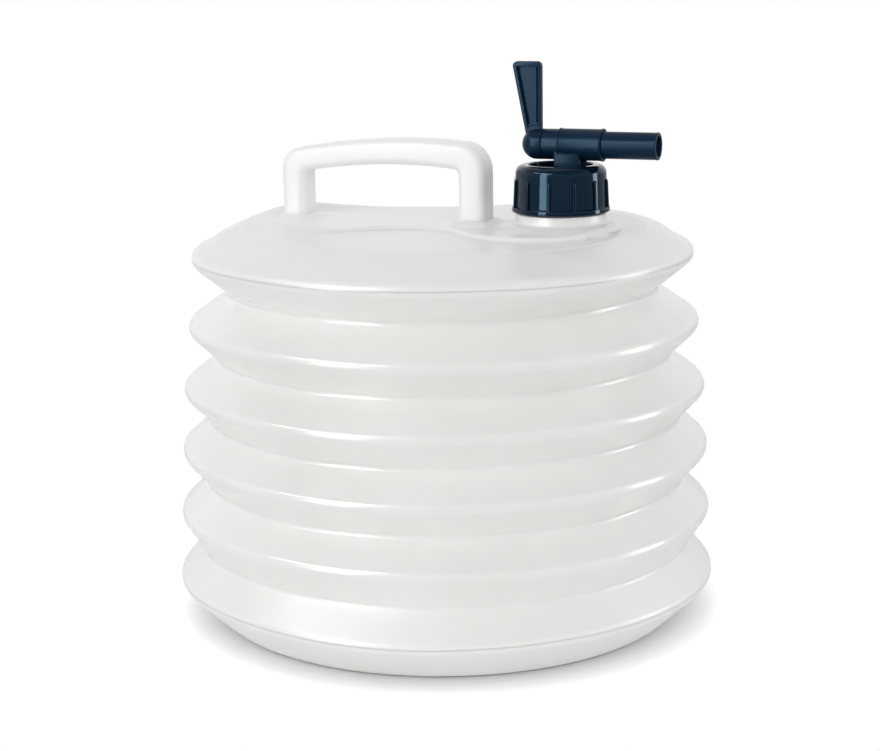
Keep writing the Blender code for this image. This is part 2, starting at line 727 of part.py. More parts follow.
def rotor_profile():
    """Hub dome, plug and open spout, along the barrel's axis from the stem."""
    face = -BARREL_TAP_REACH
    dome_centre = face - HUB_LENGTH
    profile = []
    for step in range(2 * CORNER_STEPS + 1):
        turn = UP * step / (2 * CORNER_STEPS)
        radius = HUB_RADIUS * math.sin(turn) if step else 0.0
        profile.append((radius, dome_centre - HUB_RADIUS * math.cos(turn)))
    profile += [
        (HUB_RADIUS, face),
        (PLUG_RADIUS, face),
        (PLUG_RADIUS, SPOUT_REACH - SPOUT_LIP_LENGTH),
        (SPOUT_LIP_RADIUS, SPOUT_REACH - SPOUT_LIP_LENGTH / 2),
        (SPOUT_LIP_RADIUS, SPOUT_REACH),
        (SPOUT_BORE_RADIUS, SPOUT_REACH),
        (SPOUT_BORE_RADIUS, -BORE_END),
        (0.0, -BORE_END),
    ]
    return profile


def blade_outline():
    """Lever blade in X and Z from the stem's axis and the barrel's axis, with rounded top corners."""
    face = -BARREL_TAP_REACH
    right = face + BLADE_OVERHANG
    left = right - BLADE_TOP_WIDTH
    points = [(face - BLADE_FOOT_WIDTH, BLADE_FOOT_HEIGHT), (face - HUB_LENGTH, 0.0), (face, 0.0)]
    points.append((face, BLADE_CLEAR_HEIGHT))
    z = BLADE_HEIGHT - BLADE_CORNER
    for x, start in ((right - BLADE_CORNER, 0.0), (left + BLADE_CORNER, UP)):
        for step in range(CORNER_STEPS):
            turn = start + UP * step / (CORNER_STEPS - 1)
            points.append((x + BLADE_CORNER * math.cos(turn), z + BLADE_CORNER * math.sin(turn)))
    return points


def blade_edge(height, outer):
    """X of the blade's outer or inner edge at a height over the barrel's axis."""
    face = -BARREL_TAP_REACH
    if outer:
        share = (height - BLADE_FOOT_HEIGHT) / (BLADE_HEIGHT - BLADE_FOOT_HEIGHT)
        foot = face - BLADE_FOOT_WIDTH
        return foot + share * (face + BLADE_OVERHANG - BLADE_TOP_WIDTH - foot)
    share = (height - BLADE_CLEAR_HEIGHT) / (BLADE_HEIGHT - BLADE_CLEAR_HEIGHT)
    return face + share * BLADE_OVERHANG


def recess_outline():
    low, high = RECESS_FOOT_HEIGHT, BLADE_HEIGHT - BLADE_TOP_RIM
    return [
        (blade_edge(low, True) + BLADE_OUTER_RIM, low),
        (blade_edge(low, False) - BLADE_INNER_RIM, low),
        (blade_edge(high, False) - BLADE_INNER_RIM, high),
        (blade_edge(high, True) + BLADE_OUTER_RIM, high),
    ]


def make_rotor(material, parent):
    place = (STEM_X, 0, BARREL_Z)
    body = moved(laid_along_x(turned(rotor_profile(), TAP_SEGMENTS, closed=False)), place)
    rotor = solid("tap_lever", body, material, place, parent)
    blade = moved(prism(blade_outline(), -BLADE_THICKNESS / 2, BLADE_THICKNESS / 2), place)
    combine(rotor, tool("lever_blade", blade), "UNION")
    face = BLADE_THICKNESS / 2 + CUT_OVERRUN
    for name, low, high in (("front_recess", -face, -BLADE_WEB / 2), ("back_recess", BLADE_WEB / 2, face)):
        combine(rotor, tool(name, moved(prism(recess_outline(), low, high), place)), "DIFFERENCE")
    port = cylinder(INLET_RADIUS, 0.0, PLUG_RADIUS + CUT_OVERRUN, TAP_SEGMENTS // 2)
    bmesh.ops.rotate(port, verts=port.verts, cent=(0, 0, 0), matrix=Matrix.Rotation(math.pi / 2, 3, "X"))
    combine(rotor, tool("rotor_port", moved(port, place)), "DIFFERENCE")
    return rotor


def main():
    clear_scene()
    milky = plastic("milky_wall", (0.86, 0.88, 0.87), 0.32, alpha=0.85)
    white = plastic("white_handle", (0.93, 0.94, 0.93), 0.35)
    rubber = plastic("seal_rubber", (0.75, 0.75, 0.73), 0.6)
    navy_gloss = plastic("navy_gloss", (0.010, 0.035, 0.075), 0.18)
    navy_satin = plastic("navy_satin", (0.012, 0.040, 0.080), 0.35)

    make_base(milky)
    make_bellows(milky)
    top = empty("top_slide", (0, 0, DECK_TOP))
    make_top_shell(milky, top)
    make_neck(milky, top)
    make_handle(white, top)
    lift = empty("neck_axis", (NECK_X, 0, SEAL_FOOT), top)
    make_seal(rubber, lift)
    make_cap(navy_gloss, lift)
    swivel = empty("tap_swivel_axis", (NECK_X, 0, TAP_FLANGE_FOOT), lift)
    make_tap_body(navy_satin, swivel)
    barrel = empty("barrel_axis", (STEM_X, 0, BARREL_Z), swivel)
    make_rotor(navy_satin, barrel)


main()
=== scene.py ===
"""Collapsible water carrier, dressed for its picture.

A soft, milky blow moulded container with a folding wall, its handle and filler neck, a glossy ribbed
union nut, a seal and a satin lever tap, on a pale floor in soft studio light.
"""

import math
from collections import namedtuple

import bmesh
import bpy
from bpy.props import FloatProperty, FloatVectorProperty, IntProperty, PointerProperty
from bpy.types import Operator, Panel, PropertyGroup
from mathutils import Matrix, Vector, noise


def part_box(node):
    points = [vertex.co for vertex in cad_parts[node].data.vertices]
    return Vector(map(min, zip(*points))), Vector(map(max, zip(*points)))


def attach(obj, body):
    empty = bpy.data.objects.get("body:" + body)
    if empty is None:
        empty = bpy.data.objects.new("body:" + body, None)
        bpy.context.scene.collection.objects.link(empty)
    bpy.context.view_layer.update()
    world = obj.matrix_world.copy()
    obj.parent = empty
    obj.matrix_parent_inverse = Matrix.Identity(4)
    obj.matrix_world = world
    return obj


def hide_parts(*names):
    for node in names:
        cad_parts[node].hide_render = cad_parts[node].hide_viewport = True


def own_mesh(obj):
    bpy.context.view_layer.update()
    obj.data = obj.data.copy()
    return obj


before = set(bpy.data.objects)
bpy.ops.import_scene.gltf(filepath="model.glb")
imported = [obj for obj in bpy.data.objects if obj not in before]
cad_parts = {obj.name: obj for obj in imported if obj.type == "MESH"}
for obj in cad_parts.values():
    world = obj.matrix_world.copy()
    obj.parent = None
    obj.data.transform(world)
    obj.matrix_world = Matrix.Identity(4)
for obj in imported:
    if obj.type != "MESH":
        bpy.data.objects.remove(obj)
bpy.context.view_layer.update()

bl_info = {
    "name": "Water carrier",
    "version": (1, 0, 0),
    "blender": (4, 5, 0),
    "location": "3D View > Sidebar > Carrier",
    "description": "Builds a collapsible water carrier with its handle, union nut and lever tap",
    "category": "Add Mesh",
}

UP = math.pi / 2
TURN = 2 * math.pi
CONVEX = 1
HOLLOW = -1
Round = namedtuple("Round", "r z radius side")

# Places read from the frame
FOLDS_LOW, FOLDS_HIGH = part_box("folding_wall")
SHELL_LOW, SHELL_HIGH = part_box("top_shell")
NECK_LOW, NECK_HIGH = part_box("filler_neck")
HANDLE_LOW, HANDLE_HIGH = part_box("carry_handle")
SEAL_LOW, SEAL_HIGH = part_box("seal_ring")
NUT_LOW, NUT_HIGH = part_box("union_nut")
TAP_LOW, TAP_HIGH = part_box("tap_body")
LEVER_LOW, LEVER_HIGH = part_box("tap_lever")
PAN_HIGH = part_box("base_pan")[1]

LOWEST_RIDGE_Z = (PAN_HIGH.z + FOLDS_LOW.z) / 2
TOP_RIDGE_Z = (FOLDS_HIGH.z + SHELL_LOW.z) / 2
BASE_RADIUS = PAN_HIGH.x
TOP_RIDGE_RADIUS = SHELL_HIGH.x
PLATFORM_TOP = SHELL_HIGH.z
NECK_X = (NECK_LOW.x + NECK_HIGH.x) / 2
NECK_FOOT_RADIUS = (NECK_HIGH.x - NECK_LOW.x) / 2
NECK_RIM = NECK_HIGH.z
NUT_FLANGE_RADIUS = (NUT_HIGH.x - NUT_LOW.x) / 2
BARREL_Z = LEVER_LOW.z + (LEVER_HIGH.y - LEVER_LOW.y) / 2
SPOUT_END_X = LEVER_HIGH.x
BARREL_END_X = TAP_HIGH.x
BLADE_TOP_Z = LEVER_HIGH.z
BLADE_LEFT_X = LEVER_LOW.x


# Sizes and colours that a user may change

def length(name, description, default):
    return FloatProperty(name=name, description=description, default=default, unit="LENGTH", precision=5)


def strength(name, description, default):
    return FloatProperty(name=name, description=description, default=default, min=0)


def colour(name, description, default):
    return FloatVectorProperty(
        name=name, description=description, default=default, subtype="COLOR", min=0, max=1)


class ContainerSizes(PropertyGroup):
    wall: length("Wall", "Thickness of the soft wall", 0.0011)
    ridge_fillet: length("Ridge fillet", "Radius of the outer bends", 0.0042)
    valley_fillet: length("Valley fillet", "Radius of the inner bends", 0.0022)
    ridge_shares: FloatVectorProperty(
        name="Ridge radii", description="Radius of each ridge as a share of the lowest one", size=6,
        default=(1.0, 0.986, 0.976, 0.962, 0.937, 0.917))
    valley_shares: FloatVectorProperty(
        name="Valley radii", description="Radius of each valley as a share of the lowest ridge", size=5,
        default=(0.914, 0.888, 0.872, 0.835, 0.793))
    pitch_shares: FloatVectorProperty(
        name="Pitches", description="Height of each fold as a share of the mean one", size=5,
        default=(1.015, 0.982, 0.955, 0.988, 1.057))
    floor_radius: length("Floor radius", "Radius where the heel meets the floor", 0.1245)
    heel_fillet: length("Heel fillet", "Radius of the bend round the base", 0.009)
    push_up_radius: length("Push-up radius", "Radius of the raised middle of the base", 0.092)
    push_up: length("Push-up", "Height of the raised middle of the base", 0.0018)
    push_up_slope: length("Push-up slope", "Width of the slope round the raised middle", 0.006)
    stray: length("Stray", "How far the soft wall strays in and out", 0.0007)
    sway: length("Sway", "How far the soft ridges stray up and down", 0.0008)
    wave: length("Wave", "Size of the waves of the soft wall", 0.085)
    segments: IntProperty(name="Segments", description="Facets round the container", default=288, min=24)


class DeckSizes(PropertyGroup):
    half_length: length("Half length", "Half of the deck's length", 0.1074)
    half_width: length("Half width", "Half of the deck's width", 0.0864)
    fillet: length("Edge fillet", "Radius of the bend from the deck to the shoulder", 0.0035)
    platform_rise: length("Platform rise", "Height of the platform over the deck", 0.0022)
    platform_fillet: length("Platform edge", "Width of the platform's rounded edge", 0.0016)
    rear_margin: length("Rear margin", "Platform behind the handle", 0.0032)
    front_margin: length("Front margin", "Platform before the neck's foot", 0.0024)
    handle_lobe: length("Handle lobe", "Radius of the platform under the handle", 0.033)
    neck_lobe: length("Neck lobe", "Radius of the platform under the neck", 0.0415)
    waist_fillet: length("Waist fillet", "Radius of the platform's hollow sides", 0.035)
    dent: length("Dent", "Depth of the soft hollows in the deck", 0.0008)
    groove: length("Groove", "Depth of the crease round the deck", 0.0004)
    groove_width: length("Groove width", "Half width of the crease round the deck", 0.0011)
    mound: length("Mound", "Rise of the platform to the handle's feet", 0.0030)
    mound_width: length("Mound width", "Width of the slope up to the handle's feet", 0.0105)
    neck_mound: length("Neck mound", "Rise of the platform to the neck", 0.0030)
    neck_slope: length("Neck slope", "Width of the slope up to the neck", 0.0100)
    middle_puff: length("Middle puff", "Rise of the soft shoulder in the middle of the rear", 0.0028)
    end_rise: length("End rise", "Rise of the deck towards its two ends", 0.0015)
    left_puff: length("Left puff", "Rise of the soft shoulder at the rear by the handle", 0.0054)
    right_puff: length("Right puff", "Rise of the soft shoulder at the rear by the nut", 0.0044)
    puff_radius: length("Puff radius", "Where the soft shoulder stands highest", 0.107)
    puff_width: length("Puff width", "Half width of the raised part of the shoulder", 0.013)


class HandleSizes(PropertyGroup):
    post_width: length("Post width", "Width of the post at the rear", 0.0126)
    front_post_width: length("Front post width", "Width of the post by the nut", 0.0141)
    depth: length("Depth", "Size of the handle across", 0.018)
    bar: length("Bar", "Thickness of the bar", 0.0128)
    arch: length("Arch", "Rise of the bar in its middle", 0.0028)
    lean: length("Lean", "How far the bar's ends stand down and up", 0.0027)
    drop: length("Drop", "How far the soft bar hangs below its full height", 0.0004)
    edge_fillet: length("Edge fillet", "Radius of the long edges", 0.0034)
    outer_corner: length("Outer corner", "Radius of the rear outer corner", 0.0105)
    front_outer_corner: length("Front outer corner", "Radius of the outer corner by the nut", 0.0150)
    inner_corner: length("Inner corner", "Radius of the rear corner of the grip", 0.0022)
    front_inner_corner: length("Front inner corner", "Radius of the corner of the grip by the nut", 0.0032)
    foot_flare: length("Foot flare", "Width of the fillet round each foot", 0.0018)
    foot_height: length("Foot height", "Height of the fillet round each foot", 0.0030)


class NeckSizes(PropertyGroup):
    bore: length("Bore", "Radius of the neck's bore", 0.0165)
    radius: length("Radius", "Radius of the neck under the thread", 0.0187)
    bead_radius: length("Bead radius", "Radius of the bead under the nut", 0.0227)
    bead: length("Bead", "Thickness of the bead", 0.0014)
    spread: length("Spread", "How far the flare runs out over the platform", 0.0028)
    foot_gap: length("Foot gap", "Gap between the bead and the nut", 0.0006)
    thread_crest: length("Thread crest", "Outer radius of the thread", 0.0200)
    thread_width: length("Thread width", "Width of the thread at its root", 0.0016)
    thread_lead: length("Thread lead", "Rise of the thread in one turn", 0.004)


class NutSizes(PropertyGroup):
    top_radius: length("Top radius", "Radius of the side at its top", 0.0226)
    foot_radius: length("Foot radius", "Radius of the side over the flange", 0.0234)
    shoulder: length("Shoulder", "Radius of the bend round the top", 0.0042)
    flange: length("Flange", "Height of the flange", 0.0028)
    hole: length("Hole", "Radius of the hole in the top", 0.01615)
    plate: length("Plate", "Thickness of the top", 0.0025)
    bore: length("Bore", "Radius of the bore", 0.0206)
    edge: length("Edge", "Radius of the small edges", 0.0005)
    rib_count: IntProperty(name="Ribs", description="Grip ribs round the nut", default=12, min=0)
    rib_turn: FloatProperty(
        name="Rib turn", description="Turn of the first rib", default=0.066, subtype="ANGLE")
    rib_width: length("Rib width", "Width of a grip rib", 0.0014)
    rib_height: length("Rib height", "How far a rib stands out", 0.0012)
    rib_length: length("Rib length", "Height of a grip rib", 0.0150)


class TapSizes(PropertyGroup):
    flange_radius: length("Flange radius", "Radius of the clamped flange", 0.0200)
    flange: length("Flange", "Thickness of the clamped flange", 0.0030)
    stem_offset: length("Stem offset", "Distance from the neck's axis to the stem's", 0.0048)
    stem_length: length("Stem length", "Size of the stem along the barrel", 0.0133)
    stem_depth: length("Stem depth", "Half of the stem's size across", 0.0070)
    stem_edge: length("Stem edge", "Radius of the stem's upright edges", 0.0009)
    inlet: length("Inlet", "Radius of the waterway up the stem", 0.0036)
    barrel: length("Barrel", "Radius of the barrel", 0.00785)
    collar: length("Collar", "Radius of the barrel's collar by the lever", 0.00760)
    collar_length: length("Collar length", "Length of the collar", 0.0081)
    lip: length("Lip", "Radius of the barrel's lip", 0.00815)
    lip_length: length("Lip length", "Length of the barrel's lip", 0.0010)
    lever_reach: length("Lever reach", "From the stem's axis to the lever's hub", 0.0133)
    bore: length("Bore", "Radius of the barrel's bore", 0.0070)
    edge: length("Edge", "Radius of the small edges", 0.0003)
    brace_length: length("Brace length", "Reach of the brace under the barrel", 0.0028)
    brace_height: length("Brace height", "Height of the brace", 0.0036)
    brace: length("Brace", "Thickness of the brace", 0.0020)


class LeverSizes(PropertyGroup):
    plug: length("Plug", "Radius of the plug and the spout", 0.0067)
    bore: length("Bore", "Radius of the spout's bore", 0.0052)
    bore_end: length("Bore end", "How far the bore runs past the stem's axis", 0.0060)
    lip: length("Lip", "Radius of the spout's lip", 0.00685)
    lip_length: length("Lip length", "Length of the spout's lip", 0.0012)
    hub: length("Hub", "Radius of the hub", 0.0076)
    hub_length: length("Hub length", "Length of the hub's straight part", 0.0038)
    blade: length("Blade", "Thickness of the blade", 0.0038)
    web: length("Web", "Thickness of the blade's web", 0.0008)
    web_offset: length("Web offset", "How far the web stands behind the blade's middle", 0.0008)
    top_width: length("Top width", "Width of the blade's top", 0.0151)
    foot_width: length("Foot width", "Width of the blade at its foot", 0.0094)
    setback: length("Setback", "From the hub's end to the blade's inner edge", 0.0014)
    foot_height: length("Foot height", "Height of the foot over the barrel's axis", 0.0050)
    clear_height: length("Clear height", "Where the blade may pass over the barrel", 0.0085)
    corner: length("Corner", "Radius of the blade's top corners", 0.0023)
    edge: length("Edge", "Radius of the blade's edges", 0.00035)
    top_rim: length("Top rim", "Rim over the recess", 0.0026)
    outer_rim: length("Outer rim", "Rim on the side away from the spout", 0.0020)
    inner_rim: length("Inner rim", "Rim on the spout's side", 0.0009)
    slope: length("Slope", "Width of the slope from the inner rim down to the web", 0.0022)
    foot_arc: length("Foot arc", "Radius of the recess's foot round the hub", 0.0106)
    step_arc: length("Step arc", "Radius of the step in the recess's foot", 0.0094)


class Finishes(PropertyGroup):
    milk: colour("Container", "Milky soft plastic", (0.90, 0.905, 0.88))
    handle: colour("Handle", "White plastic", (0.955, 0.96, 0.945))
    gloss_navy: colour("Nut", "Glossy dark navy plastic", (0.0008, 0.0075, 0.021))
    satin_navy: colour("Tap", "Satin dark navy plastic", (0.0030, 0.017, 0.038))
    rubber: colour("Seal", "Pale rubber", (0.70, 0.70, 0.68))
    floor: colour("Floor", "Pale floor", (0.96, 0.96, 0.96))


class StageSizes(PropertyGroup):
    lamps: strength("Lamps", "Strength of the lamps", 1.0)
    sky: strength("Sky", "Light from the surround's bright side", 1.13)
    dark_sky: strength("Dark side", "Light from the surround's dark side", 1.04)
    low_sky: strength("Low backdrop", "Light from the backdrop near the floor", 0.9)
    low_dark: strength("Low studio", "Light from the rest of the studio near the floor", 0.45)
    overhead_share: strength("Overhead share", "Light from overhead as a share of the rest", 0.43)
    floor_radius: length("Floor radius", "Radius of the floor", 0.8)
    fade_start: length("Fade start", "Where the floor begins to fade into white", 0.14)
    fade_end: length("Fade end", "Where the floor is plain white", 0.22)
    floor_gain: strength("Floor gain", "How much whiter the floor looks than it lights", 0.80)
    # The contact shade is painted into the floor's colour from ambient occlusion.
    contact: length("Contact shade", "Reach of the contact shade on the floor", 0.03)
    contact_share: strength("Contact share", "Strength of the contact shade", 0.70)


class CarrierSettings(PropertyGroup):
    container: PointerProperty(type=ContainerSizes)
    deck: PointerProperty(type=DeckSizes)
    handle: PointerProperty(type=HandleSizes)
    neck: PointerProperty(type=NeckSizes)
    nut: PointerProperty(type=NutSizes)
    tap: PointerProperty(type=TapSizes)
    lever: PointerProperty(type=LeverSizes)
    finishes: PointerProperty(type=Finishes)
    stage: PointerProperty(type=StageSizes)


# Objects and meshes

# Edges sharper than these angles, in degrees, stay sharp
DECK_SHARP = 60
HANDLE_SHARP = 50
NECK_SHARP = 40
NUT_SHARP = 38
TAP_SHARP = 32


def link(name, data, material=None, sharp=None):
    """Make a mesh from a bmesh and link it as an object at the origin."""
    mesh = bpy.data.meshes.new(name)
    data.to_mesh(mesh)
    data.free()
    return link_mesh(name, mesh, material, sharp)


def link_mesh(name, mesh, material=None, sharp=None):
    item = bpy.data.objects.new(name, mesh)
    bpy.context.scene.collection.objects.link(item)
    return dress(item, material, sharp)


def dress(item, material, sharp=None):
    """Give a piece its one material, and smooth shading but for its sharp edges."""
    if material:
        item.data.materials.clear()
        item.data.materials.append(material)
    item.data.shade_smooth()
    if sharp:
        item.data.set_sharp_from_angle(angle=math.radians(sharp))
    return item


def evaluated(item):
    return bpy.data.meshes.new_from_object(item.evaluated_get(bpy.context.evaluated_depsgraph_get()))


def bake_modifiers(item, name, material):
    """Swap an object for a plain mesh of what its modifiers make."""
    mesh = evaluated(item)
    bpy.data.objects.remove(item, do_unlink=True)
    mesh.name = name
    return link_mesh(name, mesh, material)


def bake_modifier(item, kind, **values):
    """Change a mesh by one modifier, which doesn't stay on the object."""
    modifier = item.modifiers.new(kind, kind)
    for key, value in values.items():
        setattr(modifier, key, value)
    mesh = evaluated(item)
    item.modifiers.remove(modifier)
    item.data = mesh


def combine(item, operand, operation):
    """Apply a Boolean with a throwaway object."""
    bake_modifier(item, "BOOLEAN", operation=operation, solver="EXACT", object=operand)
    bpy.data.objects.remove(operand, do_unlink=True)


def seat(item, body, slot, *nodes):
    """Say which body carries a piece and which solids it stands for; the slot is not used."""
    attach(item, body)
    if nodes:
        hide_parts(*nodes)


def settings():
    return bpy.context.scene.carrier


# Profiles made of rounds joined by their common tangents

BEND_STEPS = 7
RUN_STEPS = 4


def heading(first, second):
    reach = Vector((second.r - first.r, second.z - first.z))
    lean = (second.side * second.radius - first.side * first.radius) / reach.length
    return (math.atan2(reach.y, reach.x) - math.asin(lean)) % TURN


def arc(bend, start, end, steps, inset=0.0):
    """Points of a round between two headings, moved inwards by the inset."""
    radius = (bend.radius - bend.side * inset) * bend.side
    points = []
    for step in range(steps + 1):
        turn = start + (end - start) * step / steps
        points.append((bend.r + radius * math.sin(turn), bend.z - radius * math.cos(turn)))
    return points


def straight(start, end, steps):
    """Points between two ends, without the ends."""
    points = []
    for step in range(1, steps):
        share = step / steps
        points.append((start[0] + (end[0] - start[0]) * share, start[1] + (end[1] - start[1]) * share))
    return points


def join(*parts):
    """Chain stretches of a profile, with the straight runs between them cut into short ones."""
    path = list(parts[0])
    for part in parts[1:]:
        path += straight(path[-1], part[0], RUN_STEPS) + part
    return path


def ridges(sizes):
    pitch = (TOP_RIDGE_Z - LOWEST_RIDGE_Z) / sum(sizes.pitch_shares)
    found = []
    height = LOWEST_RIDGE_Z
    for level, share in enumerate(sizes.ridge_shares):
        found.append(Round(share * BASE_RADIUS - sizes.ridge_fillet, height, sizes.ridge_fillet, CONVEX))
        if level < len(sizes.pitch_shares):
            height += pitch * sizes.pitch_shares[level]
    return found


def valleys(sizes):
    levels = ridges(sizes)
    found = []
    for level, share in enumerate(sizes.valley_shares):
        height = (levels[level].z + levels[level + 1].z) / 2
        found.append(Round(share * BASE_RADIUS + sizes.valley_fillet, height, sizes.valley_fillet, HOLLOW))
    return found


def base_path(sizes, inset):
    """From the axis over the raised middle and the heel to the widest line of the lowest ridge."""
    heel = Round(sizes.floor_radius - sizes.heel_fillet, sizes.heel_fillet, sizes.heel_fillet, CONVEX)
    lowest = ridges(sizes)[0]
    rise = heading(heel, lowest)
    rim = sizes.push_up_radius + sizes.push_up_slope
    return join(
        [(0.0, sizes.push_up + inset)], [(sizes.push_up_radius, sizes.push_up + inset)], [(rim, inset)],
        arc(heel, 0.0, rise, BEND_STEPS, inset), arc(lowest, rise, UP, BEND_STEPS, inset))


def fold_path(sizes, inset):
    """The folding wall, from the widest line of the lowest ridge to that of the top one."""
    peaks = ridges(sizes)
    stretches = []
    arrive = None
    for level, trough in enumerate(valleys(sizes)):
        leave = heading(peaks[level], trough)
        climb = heading(trough, peaks[level + 1])
        ridge = arc(peaks[level], UP, leave, BEND_STEPS, inset)
        if level:
            ridge = arc(peaks[level], arrive, UP, BEND_STEPS, inset)[:-1] + ridge
        stretches += [ridge, arc(trough, leave, climb, BEND_STEPS, inset)]
        arrive = climb
    stretches.append(arc(peaks[-1], arrive, UP, BEND_STEPS, inset))
    return join(*stretches)


# Node trees

def new_tree(name, kind, inputs, outputs):
    """Make a node group; a socket is given by its default or its kind, and both ends' sockets come back."""
    tree = bpy.data.node_groups.new(name, kind)
    for in_out, rows in (("INPUT", inputs), ("OUTPUT", outputs)):
        for label, default in rows.items():
            number = {float: "NodeSocketFloat", int: "NodeSocketInt"}.get(type(default))
            made = tree.interface.new_socket(label, in_out=in_out, socket_type=number or default)
            if number:
                made.default_value = default
    return tree, tree.nodes.new("NodeGroupInput").outputs, tree.nodes.new("NodeGroupOutput").inputs


def node(tree, kind, values=None, **attributes):
    """Add a node, set its attributes, and fill its inputs with values or with links."""
    made = tree.nodes.new(kind)
    for name, value in attributes.items():
        setattr(made, name, value)
    for key, value in (values or {}).items():
        target = made.inputs[key]
        if isinstance(value, bpy.types.NodeSocket):
            tree.links.new(value, target)
        else:
            target.default_value = value
    return made


def maths(tree, operation, *values):
    return node(tree, "ShaderNodeMath", dict(enumerate(values)), operation=operation).outputs[0]


def ramp(tree, value, start, end, low, high, curve="LINEAR"):
    """Turn a range of values into another."""
    values = {"Value": value, "From Min": start, "From Max": end, "To Min": low, "To Max": high}
    return node(tree, "ShaderNodeMapRange", values, interpolation_type=curve).outputs[0]


SEAM = 0.000002
GEOMETRY = "NodeSocketGeometry"
MATERIAL = "NodeSocketMaterial"


def shape_tree(name, **sizes):
    """A geometry tree with the named sizes and a material as inputs."""
    inputs = {label.replace("_", " "): default for label, default in sizes.items()}
    return new_tree(name, "GeometryNodeTree", {"Geometry": GEOMETRY, **inputs, "Material": MATERIAL},
                    {"Geometry": GEOMETRY})


def end_tree(tree, given, out, geometry):
    """Close a geometry tree with real geometry in the given material."""
    real = node(tree, "GeometryNodeRealizeInstances", {"Geometry": geometry}).outputs[0]
    finished = node(tree, "GeometryNodeSetMaterial", {"Geometry": real, "Material": given["Material"]})
    tree.links.new(finished.outputs[0], out[0])
    return tree


def turned_wall_tree():
    """Turn a profile, held as a row of points in X and Z, round the Z axis."""
    tree = bpy.data.node_groups.get("Turned wall")
    if tree:
        return tree
    tree, given, out = shape_tree("Turned wall", Segments=96)
    counted = node(tree, "GeometryNodeAttributeDomainSize", {"Geometry": given["Geometry"]})
    rows = counted.outputs["Point Count"]
    columns = maths(tree, "ADD", given["Segments"], 1)
    grid = node(tree, "GeometryNodeMeshGrid", {"Vertices X": columns, "Vertices Y": rows})
    place = node(tree, "GeometryNodeInputPosition").outputs[0]
    split = node(tree, "ShaderNodeSeparateXYZ", {"Vector": place}).outputs
    angle = maths(tree, "MULTIPLY", maths(tree, "ADD", split["X"], 0.5), TURN)
    steps = maths(tree, "SUBTRACT", rows, 1)
    row = maths(tree, "ROUND", maths(tree, "MULTIPLY", maths(tree, "ADD", split["Y"], 0.5), steps))
    sampled = node(tree, "GeometryNodeSampleIndex", {
        "Geometry": given["Geometry"], "Value": place, "Index": row}, data_type="FLOAT_VECTOR")
    point = node(tree, "ShaderNodeSeparateXYZ", {"Vector": sampled.outputs[0]}).outputs
    bent = node(tree, "ShaderNodeCombineXYZ", {
        "X": maths(tree, "MULTIPLY", point["X"], maths(tree, "COSINE", angle)),
        "Y": maths(tree, "MULTIPLY", point["X"], maths(tree, "SINE", angle)), "Z": point["Z"]})
    placed = node(tree, "GeometryNodeSetPosition", {
        "Geometry": grid.outputs["Mesh"], "Position": bent.outputs[0]})
    merged = node(tree, "GeometryNodeMergeByDistance", {"Geometry": placed.outputs[0], "Distance": SEAM})
    return end_tree(tree, given, out, merged.outputs[0])


def run_tree(item, tree, inputs):
    """Add a Geometry Nodes modifier and set its inputs by their identifiers."""
    modifier = item.modifiers.new(tree.name, "NODES")
    modifier.node_group = tree
    for entry in tree.interface.items_tree:
        if entry.item_type == "SOCKET" and entry.in_out == "INPUT" and entry.name in inputs:
            modifier[entry.identifier] = inputs[entry.name]


def profile_object(name, path):
    """An object whose mesh is a row of points in X and Z."""
    mesh = bpy.data.meshes.new(name)
    mesh.from_pydata([(r, 0.0, z) for r, z in path], [(i, i + 1) for i in range(len(path) - 1)], [])
    return link_mesh(name, mesh)


def out_facing(item):
    data = bmesh.new()
    data.from_mesh(item.data)
    oriented(data).to_mesh(item.data)
    data.free()
    return item


def turned_wall(name, path, sizes, material):
    """A closed soft wall turned about Z from a closed profile."""
    item = profile_object(name + "_profile", path)
    run_tree(item, turned_wall_tree(), {"Segments": sizes.segments, "Material": material})
    item = out_facing(bake_modifiers(item, name, material))
    for vertex in item.data.vertices:
        vertex.co = soft_place(sizes, vertex.co)
    return item


# Where the noise is read for the waves in and out, for those up and down, and for the deck's hollows
STRAY_SEED = Vector((1.7, 0.3, 5.1))
SWAY_SEED = Vector((8.2, 4.4, 2.6))
DENT_SEED = Vector((3.1, 7.7, 0.4))
# How much shorter the waves are upwards than round the wall
WAVE_SQUEEZE = 2.0


def soft_place(sizes, place):
    """Where a point of the soft wall really is: its waves in and out and up and down."""
    share = smooth_step(place.z, 0.0, LOWEST_RIDGE_Z)
    wide = place.copy()
    wide.z *= WAVE_SQUEEZE
    along = noise.noise(wide / sizes.wave + STRAY_SEED)
    upwards = noise.noise(wide / sizes.wave + SWAY_SEED)
    out = Vector((place.x, place.y, 0.0)).normalized()
    return place + (out * along * sizes.stray + Vector((0, 0, upwards * sizes.sway))) * share


# Turned and lofted shapes in mesh code

FACETS = 128
NUT_FACETS = 192
ROUND_FACETS = 96


def skin(data, rows, closed=False):
    """Faces between neighbouring rows that run round; a pole is a row of one point repeated."""
    pairs = list(zip(rows, rows[1:]))
    if closed:
        pairs.append((rows[-1], rows[0]))
    for lower, upper in pairs:
        for number in range(len(lower)):
            after = (number + 1) % len(lower)
            corners = dict.fromkeys((lower[number], lower[after], upper[after], upper[number]))
            data.faces.new(list(corners))


def turned(profile, segments, closed=True):
    """Turn a profile round Z."""
    data = bmesh.new()
    turns = [TURN * number / segments for number in range(segments)]
    rows = []
    for radius, height in profile:
        if radius == 0.0:
            rows.append([data.verts.new((0.0, 0.0, height))] * segments)
        else:
            ring = [(radius * math.cos(turn), radius * math.sin(turn), height) for turn in turns]
            rows.append([data.verts.new(point) for point in ring])
    skin(data, rows, closed)
    return oriented(data)


def oriented(data):
    """Turn all faces outwards by the sign of the volume."""
    bmesh.ops.recalc_face_normals(data, faces=data.faces)
    if data.calc_volume(signed=True) < 0:
        bmesh.ops.reverse_faces(data, faces=data.faces)
    return data


